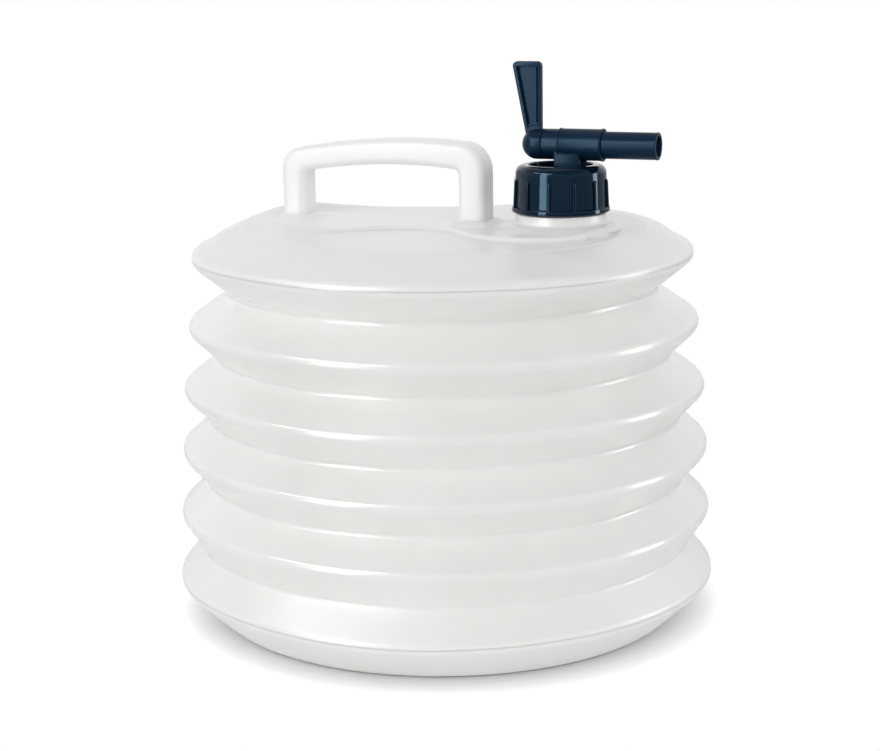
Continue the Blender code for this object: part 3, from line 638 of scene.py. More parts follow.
def loft(rings):
    """Close a stack of outlines with the same number of points."""
    data = bmesh.new()
    rows = [[data.verts.new(point) for point in ring] for ring in rings]
    skin(data, rows)
    data.faces.new(rows[0][::-1])
    data.faces.new(rows[-1])
    return oriented(data)


def moved(data, location):
    bmesh.ops.translate(data, verts=data.verts, vec=location)
    return data


def laid_along_x(data):
    bmesh.ops.rotate(data, verts=data.verts, cent=(0, 0, 0), matrix=Matrix.Rotation(UP, 3, "Y"))
    return data


def rounded(corners, steps=4):
    """Round the corners of a closed outline; each corner is its place and its radius."""
    points = []
    count = len(corners)
    for number, (x, y, radius) in enumerate(corners):
        here = Vector((x, y))
        before = (Vector(corners[number - 1][:2]) - here).normalized()
        after = (Vector(corners[(number + 1) % count][:2]) - here).normalized()
        if not radius:
            points.append((x, y))
            continue
        half = before.angle(after) / 2
        centre = here + (before + after).normalized() * (radius / math.sin(half))
        start = here + before * (radius / math.tan(half)) - centre
        finish = here + after * (radius / math.tan(half)) - centre
        first = math.atan2(start.y, start.x)
        sweep = (math.atan2(finish.y, finish.x) - first + math.pi) % TURN - math.pi
        for step in range(steps + 1):
            turn = first + sweep * step / steps
            points.append((centre.x + radius * math.cos(turn), centre.y + radius * math.sin(turn)))
    return points


def cylinder(radius, foot, top, segments=64):
    return turned([(0.0, foot), (radius, foot), (radius, top), (0.0, top)], segments, closed=False)


# Container

class CARRIER_OT_container(Operator):
    """Build the container's base and its folding wall"""
    bl_idname = "carrier.container"
    bl_label = "Container"

    def execute(self, context):
        sizes = settings().container
        rims = ((BASE_RADIUS, LOWEST_RIDGE_Z), (TOP_RIDGE_RADIUS, TOP_RIDGE_Z))
        for name, node_name, path, end in (
                ("container_base", "base_pan", base_path, 0),
                ("container_folds", "folding_wall", fold_path, 1)):
            outer, lining = (path(sizes, inset) for inset in (0.0, sizes.wall))
            item = turned_wall(name, outer + lining[::-1] + outer[:end], sizes, milky_plastic())
            close_rims(item, *rims)
            seat(item, "base", "container", node_name)
        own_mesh(item)
        return {"FINISHED"}


RIM_REACH = 0.001
SAME_PLACE = 1e-5


def close_rims(item, *rings):
    """Point the normals of the outer rings straight out, so that two pieces meet unseen."""
    mesh = item.data
    normals = [vertex.normal.copy() for vertex in mesh.vertices]
    for vertex in mesh.vertices:
        for radius, height in rings:
            here = vertex.co.xy.length
            if abs(here - radius) < RIM_REACH and abs(vertex.co.z - height) < RIM_REACH:
                out = Vector((vertex.co.x, vertex.co.y, 0.0)).normalized()
                place = soft_place(settings().container, out * radius + Vector((0, 0, height)))
                if (place - vertex.co).length < SAME_PLACE:
                    normals[vertex.index] = out
    mesh.normals_split_custom_set_from_vertices(normals)


# Deck with its raised platform

DECK_FACETS = 432
OUTER_STEPS = 90
INNER_STEPS = 40
DENT_WAVE = 0.035
DENT_MARGIN = 0.006
SOFT_RISE = 0.008
NECK_SLOPE_START = -0.002
END_RISE = (0.75, 0.97)
PUFF_FADE = (0.012, 0.001)
RIDGE_STEPS = 6
SHOULDER_STEPS = 14
EDGE_STEPS = 12
# Direction of each soft bulge of the shoulder and how far it spreads, in degrees
LEFT_PUFF = (155, 22)
RIGHT_PUFF = (45, 25)
MIDDLE_PUFF = (87, 14)


def keyhole_distance(sizes, x, y):
    """Distance from the platform's outline, less than zero inside."""
    handle_x = HANDLE_LOW.x + settings().handle.foot_flare - sizes.rear_margin + sizes.handle_lobe
    neck_x = NECK_X + NECK_FOOT_RADIUS + sizes.front_margin - sizes.neck_lobe
    left = sizes.handle_lobe + sizes.waist_fillet
    right = sizes.neck_lobe + sizes.waist_fillet
    waist_x = (handle_x + neck_x) / 2 + (left ** 2 - right ** 2) / (2 * (neck_x - handle_x))
    waist_y = math.sqrt(left ** 2 - (waist_x - handle_x) ** 2)
    y = abs(y)
    below = waist_y - y
    if below > 0:
        to_left = (handle_x - waist_x) / waist_y
        to_right = (neck_x - waist_x) / waist_y
        if to_left < (x - waist_x) / below < to_right:
            return sizes.waist_fillet - math.hypot(x - waist_x, y - waist_y)
    return min(math.hypot(x - handle_x, y) - sizes.handle_lobe, math.hypot(x - neck_x, y) - sizes.neck_lobe)


def smooth_step(value, low, high):
    share = min(1.0, max(0.0, (value - low) / (high - low)))
    return share * share * (3 - 2 * share)


def deck_reach(sizes, angle):
    return 1 / math.hypot(math.cos(angle) / sizes.half_length, math.sin(angle) / sizes.half_width)


def deck_rise(sizes, x, y):
    """Height of the platform and the soft hollows over the plain deck."""
    distance = keyhole_distance(sizes, x, y)
    edge = sizes.platform_fillet
    around = sizes.mound * (1 - smooth_step(post_distance(x, y), 0.0, sizes.mound_width)) ** 2
    from_neck = math.hypot(x - NECK_X, y) - NECK_FOOT_RADIUS
    around += sizes.neck_mound * (1 - smooth_step(from_neck, NECK_SLOPE_START, sizes.neck_slope)) ** 2
    rise = sizes.platform_rise * (1 - smooth_step(distance, -edge, 0.0))
    outside = smooth_step(distance, 0.0, DENT_MARGIN)
    hollow = noise.noise(Vector((x, y, 0.0)) / DENT_WAVE + DENT_SEED)
    return rise + around + outside * (hollow * sizes.dent + puff(sizes, x, y))


def post_distance(x, y):
    """Distance from the nearer foot of the handle."""
    handle = settings().handle
    left = HANDLE_LOW.x + handle.foot_flare
    right = HANDLE_HIGH.x - handle.foot_flare
    beside = abs(y) - handle.depth / 2
    found = []
    for low, high in ((left, left + handle.post_width), (right - handle.front_post_width, right)):
        along = max(low - x, x - high)
        found.append(math.hypot(max(0.0, along), max(0.0, beside)))
    return min(found)


def bell(value, middle, width):
    return math.exp(-((value - middle) / width) ** 2)


def puff(sizes, x, y):
    """How far the soft shoulder bulges over its straight line, at the ends and at the two rear corners."""
    radius = math.hypot(x, y)
    turn = math.degrees(math.atan2(y, x))
    ends = sizes.end_rise * smooth_step(abs(x) / sizes.half_length, *END_RISE)
    corners = sizes.left_puff * bell(turn, *LEFT_PUFF) + sizes.right_puff * bell(turn, *RIGHT_PUFF)
    corners += sizes.middle_puff * bell(turn, *MIDDLE_PUFF)
    if turn < -120:
        corners += sizes.left_puff * bell(turn + 360, *LEFT_PUFF)
    fade = 1 - smooth_step(radius, *(TOP_RIDGE_RADIUS - reach for reach in PUFF_FADE))
    return (ends + corners * bell(radius, sizes.puff_radius, sizes.puff_width)) * fade


def deck_column(sizes, container, angle, inset, steps):
    """Heights from the widest line of the top ridge to the deck's middle, at an angle."""
    top = ridges(container)[-1]
    reach = deck_reach(sizes, angle)
    deck_top = PLATFORM_TOP - sizes.platform_rise
    fillet = sizes.fillet
    edge = Round(reach - fillet / 2, deck_top - fillet, fillet, CONVEX)
    lean = heading(top, edge)
    column = arc(top, UP, lean, RIDGE_STEPS, inset)
    bend = arc(edge, lean, math.pi, EDGE_STEPS, inset)
    column += straight(column[-1], bend[0], SHOULDER_STEPS) + bend
    radius, height = column[-1]
    for step in range(1, steps + 1):
        column.append((radius * (1 - step / steps), height))
    return column


def deck_skin(data, sizes, container, inset, steps):
    """Rows of points of the deck's outer or inner skin, from the top ridge to the middle."""
    angles = [TURN * number / DECK_FACETS for number in range(DECK_FACETS)]
    columns = [deck_column(sizes, container, angle, inset, steps) for angle in angles]
    rows = []
    for level in range(len(columns[0]) - 1):
        row = []
        for angle, column in zip(angles, columns):
            radius, height = column[level]
            place = Vector((radius * math.cos(angle), radius * math.sin(angle), height))
            fade = smooth_step(height, TOP_RIDGE_Z, TOP_RIDGE_Z + SOFT_RISE)
            soft = soft_place(container, place)
            crease = bell(radius, deck_reach(sizes, angle), sizes.groove_width)
            place.z += fade * (deck_rise(sizes, place.x, place.y) - sizes.groove * crease)
            row.append(data.verts.new(soft.lerp(place, fade)))
        rows.append(row)
    middle = (0.0, 0.0, columns[0][-1][1] + deck_rise(sizes, 0.0, 0.0))
    return rows + [[data.verts.new(middle)] * DECK_FACETS]


class CARRIER_OT_deck(Operator):
    """Build the container's shoulder, its deck and the raised platform"""
    bl_idname = "carrier.deck"
    bl_label = "Deck"

    def execute(self, context):
        sizes = settings().deck
        container = settings().container
        material = milky_plastic()
        data = bmesh.new()
        outer = deck_skin(data, sizes, container, 0.0, OUTER_STEPS)
        inner = deck_skin(data, sizes, container, container.wall, INNER_STEPS)
        skin(data, outer[::-1] + inner)
        item = link("container_top", oriented(data), material)
        foot = PLATFORM_TOP - sizes.platform_rise - 2 * container.wall
        hole = cylinder(settings().neck.bore, foot, PLATFORM_TOP + container.wall)
        combine(item, link("neck_hole", moved(hole, (NECK_X, 0, 0))), "DIFFERENCE")
        dress(item, material, DECK_SHARP)
        close_rims(item, (TOP_RIDGE_RADIUS, TOP_RIDGE_Z))
        seat(item, "top", "container", "top_shell")
        return {"FINISHED"}


# Handle

FOOT_SUNK = 0.0002
FLARE_STEPS = 8
POST_STEPS = 6
CORNER_STEPS = 10
BAR_STEPS = 24


def handle_section(width, depth, fillet, steps=5):
    corners = [(width, depth / 2), (0.0, depth / 2), (0.0, -depth / 2), (width, -depth / 2)]
    return rounded([(out, across, fillet) for out, across in corners], steps)


def post_stations(sizes, width, outer_radius, inner_radius, top, under):
    """Outer and inner points from a post's foot to its corner, out from its outer face, and the flare."""
    foot = PLATFORM_TOP
    stations = [((0.0, foot - FOOT_SUNK), (width, foot - FOOT_SUNK), 1.0)]
    for step in range(FLARE_STEPS + 1):
        turn = UP * step / FLARE_STEPS
        flare = 1 - math.sqrt(max(0.0, 1 - (1 - math.sin(turn)) ** 2)) if step else 1.0
        height = foot + sizes.foot_height * math.sin(turn)
        stations.append(((0.0, height), (width, height), flare))
    low = foot + sizes.foot_height
    for step in range(1, POST_STEPS):
        share = step / POST_STEPS
        outer = low + (top - outer_radius - low) * share
        inner = low + (under - inner_radius - low) * share
        stations.append(((0.0, outer), (width, inner), 0.0))
    for step in range(CORNER_STEPS + 1):
        turn = UP * step / CORNER_STEPS
        across, up = 1 - math.cos(turn), math.sin(turn)
        outer = (outer_radius * across, top - outer_radius * (1 - up))
        inner = (width + inner_radius * across, under - inner_radius * (1 - up))
        stations.append((outer, inner, 0.0))
    return stations


def handle_stations(sizes):
    """Outer and inner points along the handle, and how far the foot flares at each."""
    top = HANDLE_HIGH.z - sizes.arch
    under = top - sizes.bar
    left = HANDLE_LOW.x + sizes.foot_flare
    right = HANDLE_HIGH.x - sizes.foot_flare
    rear = post_stations(sizes, sizes.post_width, sizes.outer_corner, sizes.inner_corner, top, under)
    front = post_stations(sizes, sizes.front_post_width, sizes.front_outer_corner, sizes.front_inner_corner,
                          top, under)
    rear = [((left + o[0], o[1]), (left + i[0], i[1]), flare) for o, i, flare in rear]
    front = [((right - o[0], o[1]), (right - i[0], i[1]), flare) for o, i, flare in front]
    bar = []
    for step in range(1, BAR_STEPS):
        share = step / BAR_STEPS
        height = sizes.arch * (1 - (2 * share - 1) ** 2)
        outer = rear[-1][0][0] + (front[-1][0][0] - rear[-1][0][0]) * share
        inner = rear[-1][1][0] + (front[-1][1][0] - rear[-1][1][0]) * share
        bar.append(((outer, top + height), (inner, under + height), 0.0))
    middle, half = (left + right) / 2, (right - left) / 2

    def leaned(point):
        up = max(0.0, (point[1] - PLATFORM_TOP) / (top - PLATFORM_TOP))
        return point[0], point[1] + up * (sizes.lean * (point[0] - middle) / half - sizes.drop)

    return [(leaned(o), leaned(i), flare) for o, i, flare in rear + bar + front[::-1]]


class CARRIER_OT_handle(Operator):
    """Build the carrying handle"""
    bl_idname = "carrier.handle"
    bl_label = "Handle"

    def execute(self, context):
        sizes = settings().handle
        rings = []
        for outer, inner, flare in handle_stations(sizes):
            outer, inner = Vector(outer), Vector(inner)
            out = (outer - inner).normalized()
            spread = flare * sizes.foot_flare
            width = (outer - inner).length + 2 * spread
            start = inner - out * spread
            ring = []
            for reach, across in handle_section(width, sizes.depth + 2 * spread, sizes.edge_fillet + spread):
                spot = start + out * reach
                ring.append((spot.x, across, spot.y))
            rings.append(ring)
        item = link("carrying_handle", loft(rings), white_plastic(), HANDLE_SHARP)
        seat(item, "top", "handle", "carry_handle")
        return {"FINISHED"}


# Neck and seal

THREAD_FACETS = 64
THREAD_SIDES = 8
NECK_EDGE = 0.0005
SEAL_EDGE = 0.0004


def thread_tree():
    """A thread ridge that climbs round a neck."""
    tree, given, out = shape_tree("Thread ridge", Radius=0.02, Turns=2.0, Lead=0.004, Width=0.0016)
    spiral = node(tree, "GeometryNodeCurveSpiral", {
        "Resolution": THREAD_FACETS, "Rotations": given["Turns"],
        "Start Radius": given["Radius"], "End Radius": given["Radius"],
        "Height": maths(tree, "MULTIPLY", given["Turns"], given["Lead"]), "Reverse": True})
    section = node(tree, "GeometryNodeCurvePrimitiveCircle", {
        "Resolution": THREAD_SIDES, "Radius": maths(tree, "DIVIDE", given["Width"], 2.0)})
    ridge = node(tree, "GeometryNodeCurveToMesh", {
        "Curve": spiral.outputs[0], "Profile Curve": section.outputs[0], "Fill Caps": True})
    return end_tree(tree, given, out, ridge.outputs[0])


class CARRIER_OT_neck(Operator):
    """Build the filler neck, with its flared foot, its bead and its thread"""
    bl_idname = "carrier.neck"
    bl_label = "Neck"

    def execute(self, context):
        sizes = settings().neck
        material = milky_plastic()
        foot = PLATFORM_TOP
        bead_top = NUT_LOW.z - sizes.foot_gap
        bead_foot = bead_top - sizes.bead
        reach = NECK_FOOT_RADIUS + sizes.spread
        width = reach - sizes.bead_radius
        profile = [(reach, foot - FOOT_SUNK)]
        for step in range(EDGE_STEPS + 1):
            turn = UP * step / EDGE_STEPS
            height = foot + (bead_foot - foot) * (1 - math.cos(turn))
            profile.append((reach - width * math.sin(turn), height))
        bead = rounded([
            (sizes.radius, bead_foot, 0), (sizes.bead_radius, bead_foot, 0),
            (sizes.bead_radius, bead_top, NECK_EDGE), (sizes.radius, bead_top, 0),
            (sizes.radius, NECK_RIM, NECK_EDGE), (sizes.bore, NECK_RIM, NECK_EDGE),
            (sizes.bore, foot - FOOT_SUNK, 0),
        ])
        profile += bead[2:]
        body = moved(turned(profile, FACETS), (NECK_X, 0, 0))
        item = link("filler_neck_wall", body, material, NECK_SHARP)
        seat(item, "top", "container", "filler_neck")
        start = bead_top + sizes.thread_width
        turns = (NECK_RIM - start - sizes.thread_width) / sizes.thread_lead
        thread = profile_object("thread_start", [(0.0, 0.0), (sizes.radius, 0.0)])
        run_tree(thread, thread_tree(), {
            "Radius": sizes.thread_crest - sizes.thread_width / 2, "Turns": turns, "Lead": sizes.thread_lead,
            "Width": sizes.thread_width, "Material": material,
        })
        thread = bake_modifiers(thread, "neck_thread", material)
        thread.data.transform(Matrix.Translation((NECK_X, 0, start)))
        seat(thread, "top", "container")
        return {"FINISHED"}


class CARRIER_OT_seal(Operator):
    """Build the seal between the neck and the tap"""
    bl_idname = "carrier.seal"
    bl_label = "Seal"

    def execute(self, context):
        sizes = settings().neck
        outer = (SEAL_HIGH.x - SEAL_LOW.x) / 2
        low, high = SEAL_LOW.z, SEAL_HIGH.z
        corners = ((sizes.bore, low), (outer, low), (outer, high), (sizes.bore, high))
        profile = rounded([(radius, height, SEAL_EDGE) for radius, height in corners])
        ring = moved(turned(profile, ROUND_FACETS), (NECK_X, 0, 0))
        item = link("neck_seal", ring, seal_rubber(), NECK_SHARP)
        seat(item, "seal", "seal", "seal_ring")
        return {"FINISHED"}


# Union nut

RIB_LEVELS = 18
RIB_RUN_OUT = 0.86
RIB_EDGE = 0.0003
# Rounds of the flange and of the hole as shares of the small edges
FLANGE_EDGE_SHARE = 1.6
HOLE_EDGE_SHARE = 1.4


def ring_of_ribs_tree():
    """Set copies of a rib round the Z axis."""
    tree, given, out = shape_tree("Ring of ribs", Count=12, First_turn=0.0)
    points = node(tree, "GeometryNodePoints", {"Count": given["Count"]})
    number = node(tree, "GeometryNodeInputIndex").outputs[0]
    step = maths(tree, "DIVIDE", maths(tree, "MULTIPLY", number, TURN), given["Count"])
    rotation = node(tree, "ShaderNodeCombineXYZ", {"Z": maths(tree, "ADD", step, given["First turn"])})
    placed = node(tree, "GeometryNodeInstanceOnPoints", {
        "Points": points.outputs[0], "Instance": given["Geometry"], "Rotation": rotation.outputs[0]})
    return end_tree(tree, given, out, placed.outputs[0])


def nut_side_radius(sizes, height):
    foot = NUT_LOW.z + sizes.flange
    top = NUT_HIGH.z - sizes.shoulder
    return sizes.foot_radius + (sizes.top_radius - sizes.foot_radius) * (height - foot) / (top - foot)


def nut_rib(sizes):
    """One rounded rib that leans with the nut's side and runs out at its top."""
    foot = NUT_LOW.z + sizes.flange - sizes.edge
    top = NUT_LOW.z + sizes.flange + sizes.rib_length
    half = sizes.rib_width / 2
    rings = []
    for level in range(RIB_LEVELS + 1):
        share = level / RIB_LEVELS
        height = foot + (top - foot) * share
        run_out = smooth_step(share, RIB_RUN_OUT, 1.0)
        side = nut_side_radius(sizes, height)
        crest = side + (sizes.rib_height * (1 - run_out) - sizes.edge * run_out)
        root = side - sizes.rib_width
        outline = rounded([
            (crest, -half, RIB_EDGE), (crest, half, RIB_EDGE), (root, half, 0), (root, -half, 0)])
        rings.append([(out, across, height) for out, across in outline])
    return loft(rings)


class CARRIER_OT_nut(Operator):
    """Build the ribbed union nut"""
    bl_idname = "carrier.nut"
    bl_label = "Union nut"

    def execute(self, context):
        sizes = settings().nut
        material = glossy_navy()
        foot, top = NUT_LOW.z, NUT_HIGH.z
        flange_top = foot + sizes.flange
        edge = sizes.edge
        flange_edge = edge * FLANGE_EDGE_SHARE
        profile = rounded([
            (sizes.bore, foot, edge), (NUT_FLANGE_RADIUS, foot, flange_edge),
            (NUT_FLANGE_RADIUS - edge / 2, flange_top, flange_edge), (sizes.foot_radius, flange_top, edge),
            (sizes.top_radius, top, sizes.shoulder), (sizes.hole, top, edge * HOLE_EDGE_SHARE),
            (sizes.hole, top - sizes.plate, edge), (sizes.bore, top - sizes.plate, 0),
        ], steps=8)
        item = link("ribbed_union_nut", turned(profile, NUT_FACETS), material)
        ribs = link("nut_ribs", nut_rib(sizes))
        run_tree(ribs, ring_of_ribs_tree(), {
            "Count": sizes.rib_count, "First turn": sizes.rib_turn, "Material": material})
        ribs = bake_modifiers(ribs, "nut_ribs", material)
        combine(item, ribs, "UNION")
        item.data.transform(Matrix.Translation((NECK_X, 0, 0)))
        dress(item, material, NUT_SHARP)
        seat(item, "nut", "nut", "union_nut")
        return {"FINISHED"}


# Tap

LEVER_PLAY = 0.0003
STEM_STEPS = 12
INLET_FACETS = 48
# Where the collar's lip ends and where the barrel begins, as shares of the lip's length
LIP_END_SHARE = 0.6
BARREL_SHARE = 0.9


def stem_outline(sizes, height):
    half_length, half_depth = sizes.stem_length / 2, sizes.stem_depth
    corners = [(half_length, -half_depth), (half_length, half_depth), (-half_length, half_depth),
               (-half_length, -half_depth)]
    return [(x, y, height) for x, y in rounded([(x, y, sizes.stem_edge) for x, y in corners])]


def stem_x():
    return NECK_X + settings().tap.stem_offset


class CARRIER_OT_tap(Operator):
    """Build the tap's body: the clamped flange, the stem and the barrel"""
    bl_idname = "carrier.tap"
    bl_label = "Tap body"

    def execute(self, context):
        sizes = settings().tap
        axis_x = stem_x()
        edge = sizes.edge
        start = -sizes.lever_reach + LEVER_PLAY
        step_x = start + sizes.collar_length
        end = BARREL_END_X - axis_x
        profile = rounded([
            (0.0, start, 0), (sizes.collar, start, edge), (sizes.collar, step_x, edge / 2),
            (sizes.lip, step_x, edge / 2), (sizes.lip, step_x + sizes.lip_length * LIP_END_SHARE, edge),
            (sizes.barrel, step_x + sizes.lip_length * BARREL_SHARE, edge),
            (sizes.barrel, end - sizes.lip_length, edge / 2), (sizes.lip, end - sizes.lip_length, edge),
            (sizes.lip, end, edge), (0.0, end, 0),
        ])
        place = (axis_x, 0, BARREL_Z)
        item = link("lever_tap_body", moved(laid_along_x(turned(profile, FACETS, closed=False)), place))
        flange_top = TAP_LOW.z + sizes.flange
        flange_profile = rounded([
            (0.0, TAP_LOW.z, 0), (sizes.flange_radius, TAP_LOW.z, edge),
            (sizes.flange_radius, flange_top, edge), (0.0, flange_top, 0),
        ])
        flange = moved(turned(flange_profile, FACETS, closed=False), (NECK_X, 0, 0))
        combine(item, link("flange", flange), "UNION")
        foot = flange_top - sizes.flange / 2
        rings = [stem_outline(sizes, foot + (BARREL_Z - foot) * step / STEM_STEPS)
                 for step in range(STEM_STEPS + 1)]
        stem = moved(loft(rings), (axis_x, 0, 0))
        combine(item, link("stem", stem), "UNION")
        brace_top = BARREL_Z - sizes.barrel + sizes.brace / 2
        side = axis_x + sizes.stem_length / 2
        brace_foot = brace_top - sizes.brace_height
        inner = side - sizes.brace_length / 2
        outer = side + sizes.brace_length
        outline = [(inner, brace_foot), (side, brace_foot), (outer, brace_top), (inner, brace_top)]
        brace = loft([[(x, y, z) for x, z in outline] for y in (-sizes.brace / 2, sizes.brace / 2)])
        combine(item, link("brace", brace), "UNION")
        bore = laid_along_x(cylinder(sizes.bore, start - edge, end + edge, ROUND_FACETS))
        combine(item, link("bore", moved(bore, place)), "DIFFERENCE")
        inlet = moved(cylinder(sizes.inlet, TAP_LOW.z - edge, BARREL_Z, INLET_FACETS), (axis_x, 0, 0))
        combine(item, link("inlet", inlet), "DIFFERENCE")
        dress(item, satin_navy(), TAP_SHARP)
        seat(item, "tap", "tap", "tap_body")
        return {"FINISHED"}


BEVEL_ANGLE = math.radians(50)
RECESS_CORNER = 0.0006
ARC_STEPS = 8
HUB_STEPS = 24


def blade_left(sizes, height):
    """X of the blade's outer edge at a height over the barrel's axis, from the stem's axis."""
    face = -settings().tap.lever_reach
    top = BLADE_TOP_Z - BARREL_Z
    foot = face - sizes.foot_width
    share = (height - sizes.foot_height) / (top - sizes.foot_height)
    return foot + share * (BLADE_LEFT_X - stem_x() - foot)


def blade_right(sizes, height):
    foot = -settings().tap.lever_reach - sizes.setback
    top = BLADE_TOP_Z - BARREL_Z
    share = (height - sizes.clear_height) / (top - sizes.clear_height)
    overhang = BLADE_LEFT_X - stem_x() + sizes.top_width - foot
    return foot + share * overhang


def recess_outline(sizes, foot_arc, grow=0.0, slope=0.0):
    """The recess between the rims, with a foot that is an arc round the hub."""
    centre = -settings().tap.lever_reach - settings().lever.hub_length
    top = BLADE_TOP_Z - BARREL_Z - sizes.top_rim + grow
    reach = foot_arc - grow
    left_x = blade_left(sizes, reach) + sizes.outer_rim - grow
    right_x = blade_right(sizes, reach) - sizes.inner_rim + grow - slope
    corners = [
        (blade_right(sizes, top) - sizes.inner_rim + grow - slope, top, RECESS_CORNER),
        (blade_left(sizes, top) + sizes.outer_rim - grow, top, RECESS_CORNER),
    ]
    for step in range(ARC_STEPS + 1):
        x = left_x + (right_x - left_x) * step / ARC_STEPS
        corners.append((x, math.sqrt(reach ** 2 - (x - centre) ** 2), 0))
    return rounded(corners)


class CARRIER_OT_lever(Operator):
    """Build the rotor: the lever, its hub, the plug and the spout"""
    bl_idname = "carrier.lever"
    bl_label = "Lever and spout"

    def execute(self, context):
        sizes = settings().lever
        axis_x = stem_x()
        face = -settings().tap.lever_reach
        centre = face - sizes.hub_length
        end = SPOUT_END_X - axis_x
        edge = sizes.edge
        profile = []
        for step in range(HUB_STEPS + 1):
            turn = UP * step / HUB_STEPS
            profile.append((sizes.hub * math.sin(turn) if step else 0.0, centre - sizes.hub * math.cos(turn)))
        profile += rounded([
            (sizes.hub, centre, 0), (sizes.hub, face, edge), (sizes.plug, face, 0),
            (sizes.plug, end - sizes.lip_length, edge), (sizes.lip, end - sizes.lip_length / 2, edge),
            (sizes.lip, end, edge), (sizes.bore, end, edge), (sizes.bore, -sizes.bore_end, 0),
        ])[1:] + [(0.0, -sizes.bore_end)]
        place = (axis_x, 0, BARREL_Z)
        item = link("lever_and_spout", moved(laid_along_x(turned(profile, FACETS, closed=False)), place))
        combine(item, self.blade(sizes, face), "UNION")
        dress(item, satin_navy(), TAP_SHARP)
        seat(item, "rotor", "tap", "tap_lever")
        return {"FINISHED"}

    def blade(self, sizes, face):
        top = BLADE_TOP_Z - BARREL_Z
        outline = rounded([
            (blade_right(sizes, top), top, sizes.corner), (blade_left(sizes, top), top, sizes.corner),
            (face - sizes.foot_width, sizes.foot_height, 0), (face - sizes.hub_length, 0.0, 0),
            (face - sizes.setback, 0.0, 0), (face - sizes.setback, sizes.clear_height, 0),
        ], 8)
        half = sizes.blade / 2
        place = Vector((stem_x(), 0, BARREL_Z))
        plate = link("blade", moved(loft([[(x, y, z) for x, z in outline] for y in (-half, half)]), place))
        bake_modifier(
            plate, "BEVEL", width=sizes.edge, segments=3, limit_method="ANGLE", angle_limit=BEVEL_ANGLE)
        near, far = sizes.web_offset - sizes.web / 2, sizes.web_offset + sizes.web / 2
        for share, radius in ((1.0, sizes.foot_arc), (0.5, sizes.step_arc)):
            wide = recess_outline(sizes, radius)
            deep = recess_outline(sizes, radius, 0.0, sizes.slope * share)
            for side, face_y in ((-half, near), (half, far)):
                floor_y = side + (face_y - side) * share
                self.cut(plate, place, ((side * 2, wide), (side, wide), (floor_y, deep)))
        narrow = recess_outline(sizes, sizes.step_arc)
        wide = recess_outline(sizes, sizes.step_arc, 2 * sizes.edge)
        for side in (-half, half):
            away = math.copysign(sizes.edge, side)
            self.cut(plate, place, ((side - away, narrow), (side + away, wide)))
        return plate

    def cut(self, plate, place, levels):
        """Take a shape out of the blade between two distances from its middle."""
        shape = moved(loft([[(x, y, z) for x, z in outline] for y, outline in levels]), place)
        combine(plate, link("recess", shape), "DIFFERENCE")


# Finishes

FLOAT = "NodeSocketFloat"
# The part of the noise that is used, and how much lighter and darker a plastic gets with it
MASK_LOW, MASK_HIGH = 0.3, 0.7
SHADE_LOW, SHADE_HIGH = 0.97, 1.03

# How much duller the milky plastic is below the lowest valley and on the deck, and where this sets in
LOW_ROUGHNESS = 0.11
LOW_FADE = 0.0005
DECK_ROUGHNESS = 0.10
DECK_FADE = (0.170, 0.185)


def moulding_group():
    """Soft waves and fine pitting of moulded plastic, as a height and a mask for the roughness."""
    tree = bpy.data.node_groups.get("Moulded surface")
    if tree:
        return tree
    tree, given, out = new_tree(
        "Moulded surface", "ShaderNodeTree", {"Wave scale": 20.0, "Grain scale": 900.0, "Grain share": 0.1},
        {"Height": FLOAT, "Mask": FLOAT})
    place = node(tree, "ShaderNodeTexCoord").outputs["Object"]
    waves = node(tree, "ShaderNodeTexNoise", {
        "Vector": place, "Scale": given["Wave scale"], "Detail": 2.0, "Roughness": 0.45})
    grain = node(tree, "ShaderNodeTexNoise", {
        "Vector": place, "Scale": given["Grain scale"], "Detail": 2.0, "Roughness": 0.5})
    fine = maths(tree, "MULTIPLY", grain.outputs[0], given["Grain share"])
    tree.links.new(maths(tree, "ADD", waves.outputs[0], fine), out["Height"])
    tree.links.new(waves.outputs[0], out["Mask"])
    return tree


def plastic(name, tint, constants, roughness, stray, relief, waves, grain, grain_share, change=None):
    """A Principled plastic whose roughness and bump come from the moulded surface group."""
    material = bpy.data.materials.get(name)
    if material:
        return material
    material = bpy.data.materials.new(name)
    material.use_nodes = True
    tree = material.node_tree
    shader = tree.nodes["Principled BSDF"].inputs
    surface = tree.nodes.new("ShaderNodeGroup")
    surface.node_tree = moulding_group()
    for key, value in (("Wave scale", waves), ("Grain scale", grain), ("Grain share", grain_share)):
        surface.inputs[key].default_value = value
    mask = surface.outputs["Mask"]
    rough = ramp(tree, mask, MASK_LOW, MASK_HIGH, roughness - stray, roughness + stray)
    if change:
        rough = change(tree, rough)
    bump = node(tree, "ShaderNodeBump", {
        "Height": surface.outputs["Height"], "Distance": relief, "Strength": 1.0})
    shade = ramp(tree, mask, MASK_LOW, MASK_HIGH, SHADE_LOW, SHADE_HIGH)
    tinted = node(tree, "ShaderNodeMix", {0: 1.0, 6: (*tint, 1.0), 7: shade}, data_type="RGBA",
                  blend_type="MULTIPLY")
    for key, value in (("Roughness", rough), ("Normal", bump.outputs[0]), ("Base Color", tinted.outputs[2])):
        tree.links.new(value, shader[key])
    for key, value in constants.items():
        shader[key].default_value = value
    return material


def duller(tree, rough):
    """Raise a roughness on the deck and below the lowest valley."""
    place = node(tree, "ShaderNodeTexCoord").outputs["Object"]
    height = node(tree, "ShaderNodeSeparateXYZ", {0: place}).outputs["Z"]
    valley = valleys(settings().container)[0].z
    rough = maths(tree, "ADD", rough, ramp(tree, height, valley, valley + LOW_FADE, LOW_ROUGHNESS, 0.0))
    return maths(tree, "ADD", rough, ramp(tree, height, *DECK_FADE, 0.0, DECK_ROUGHNESS))


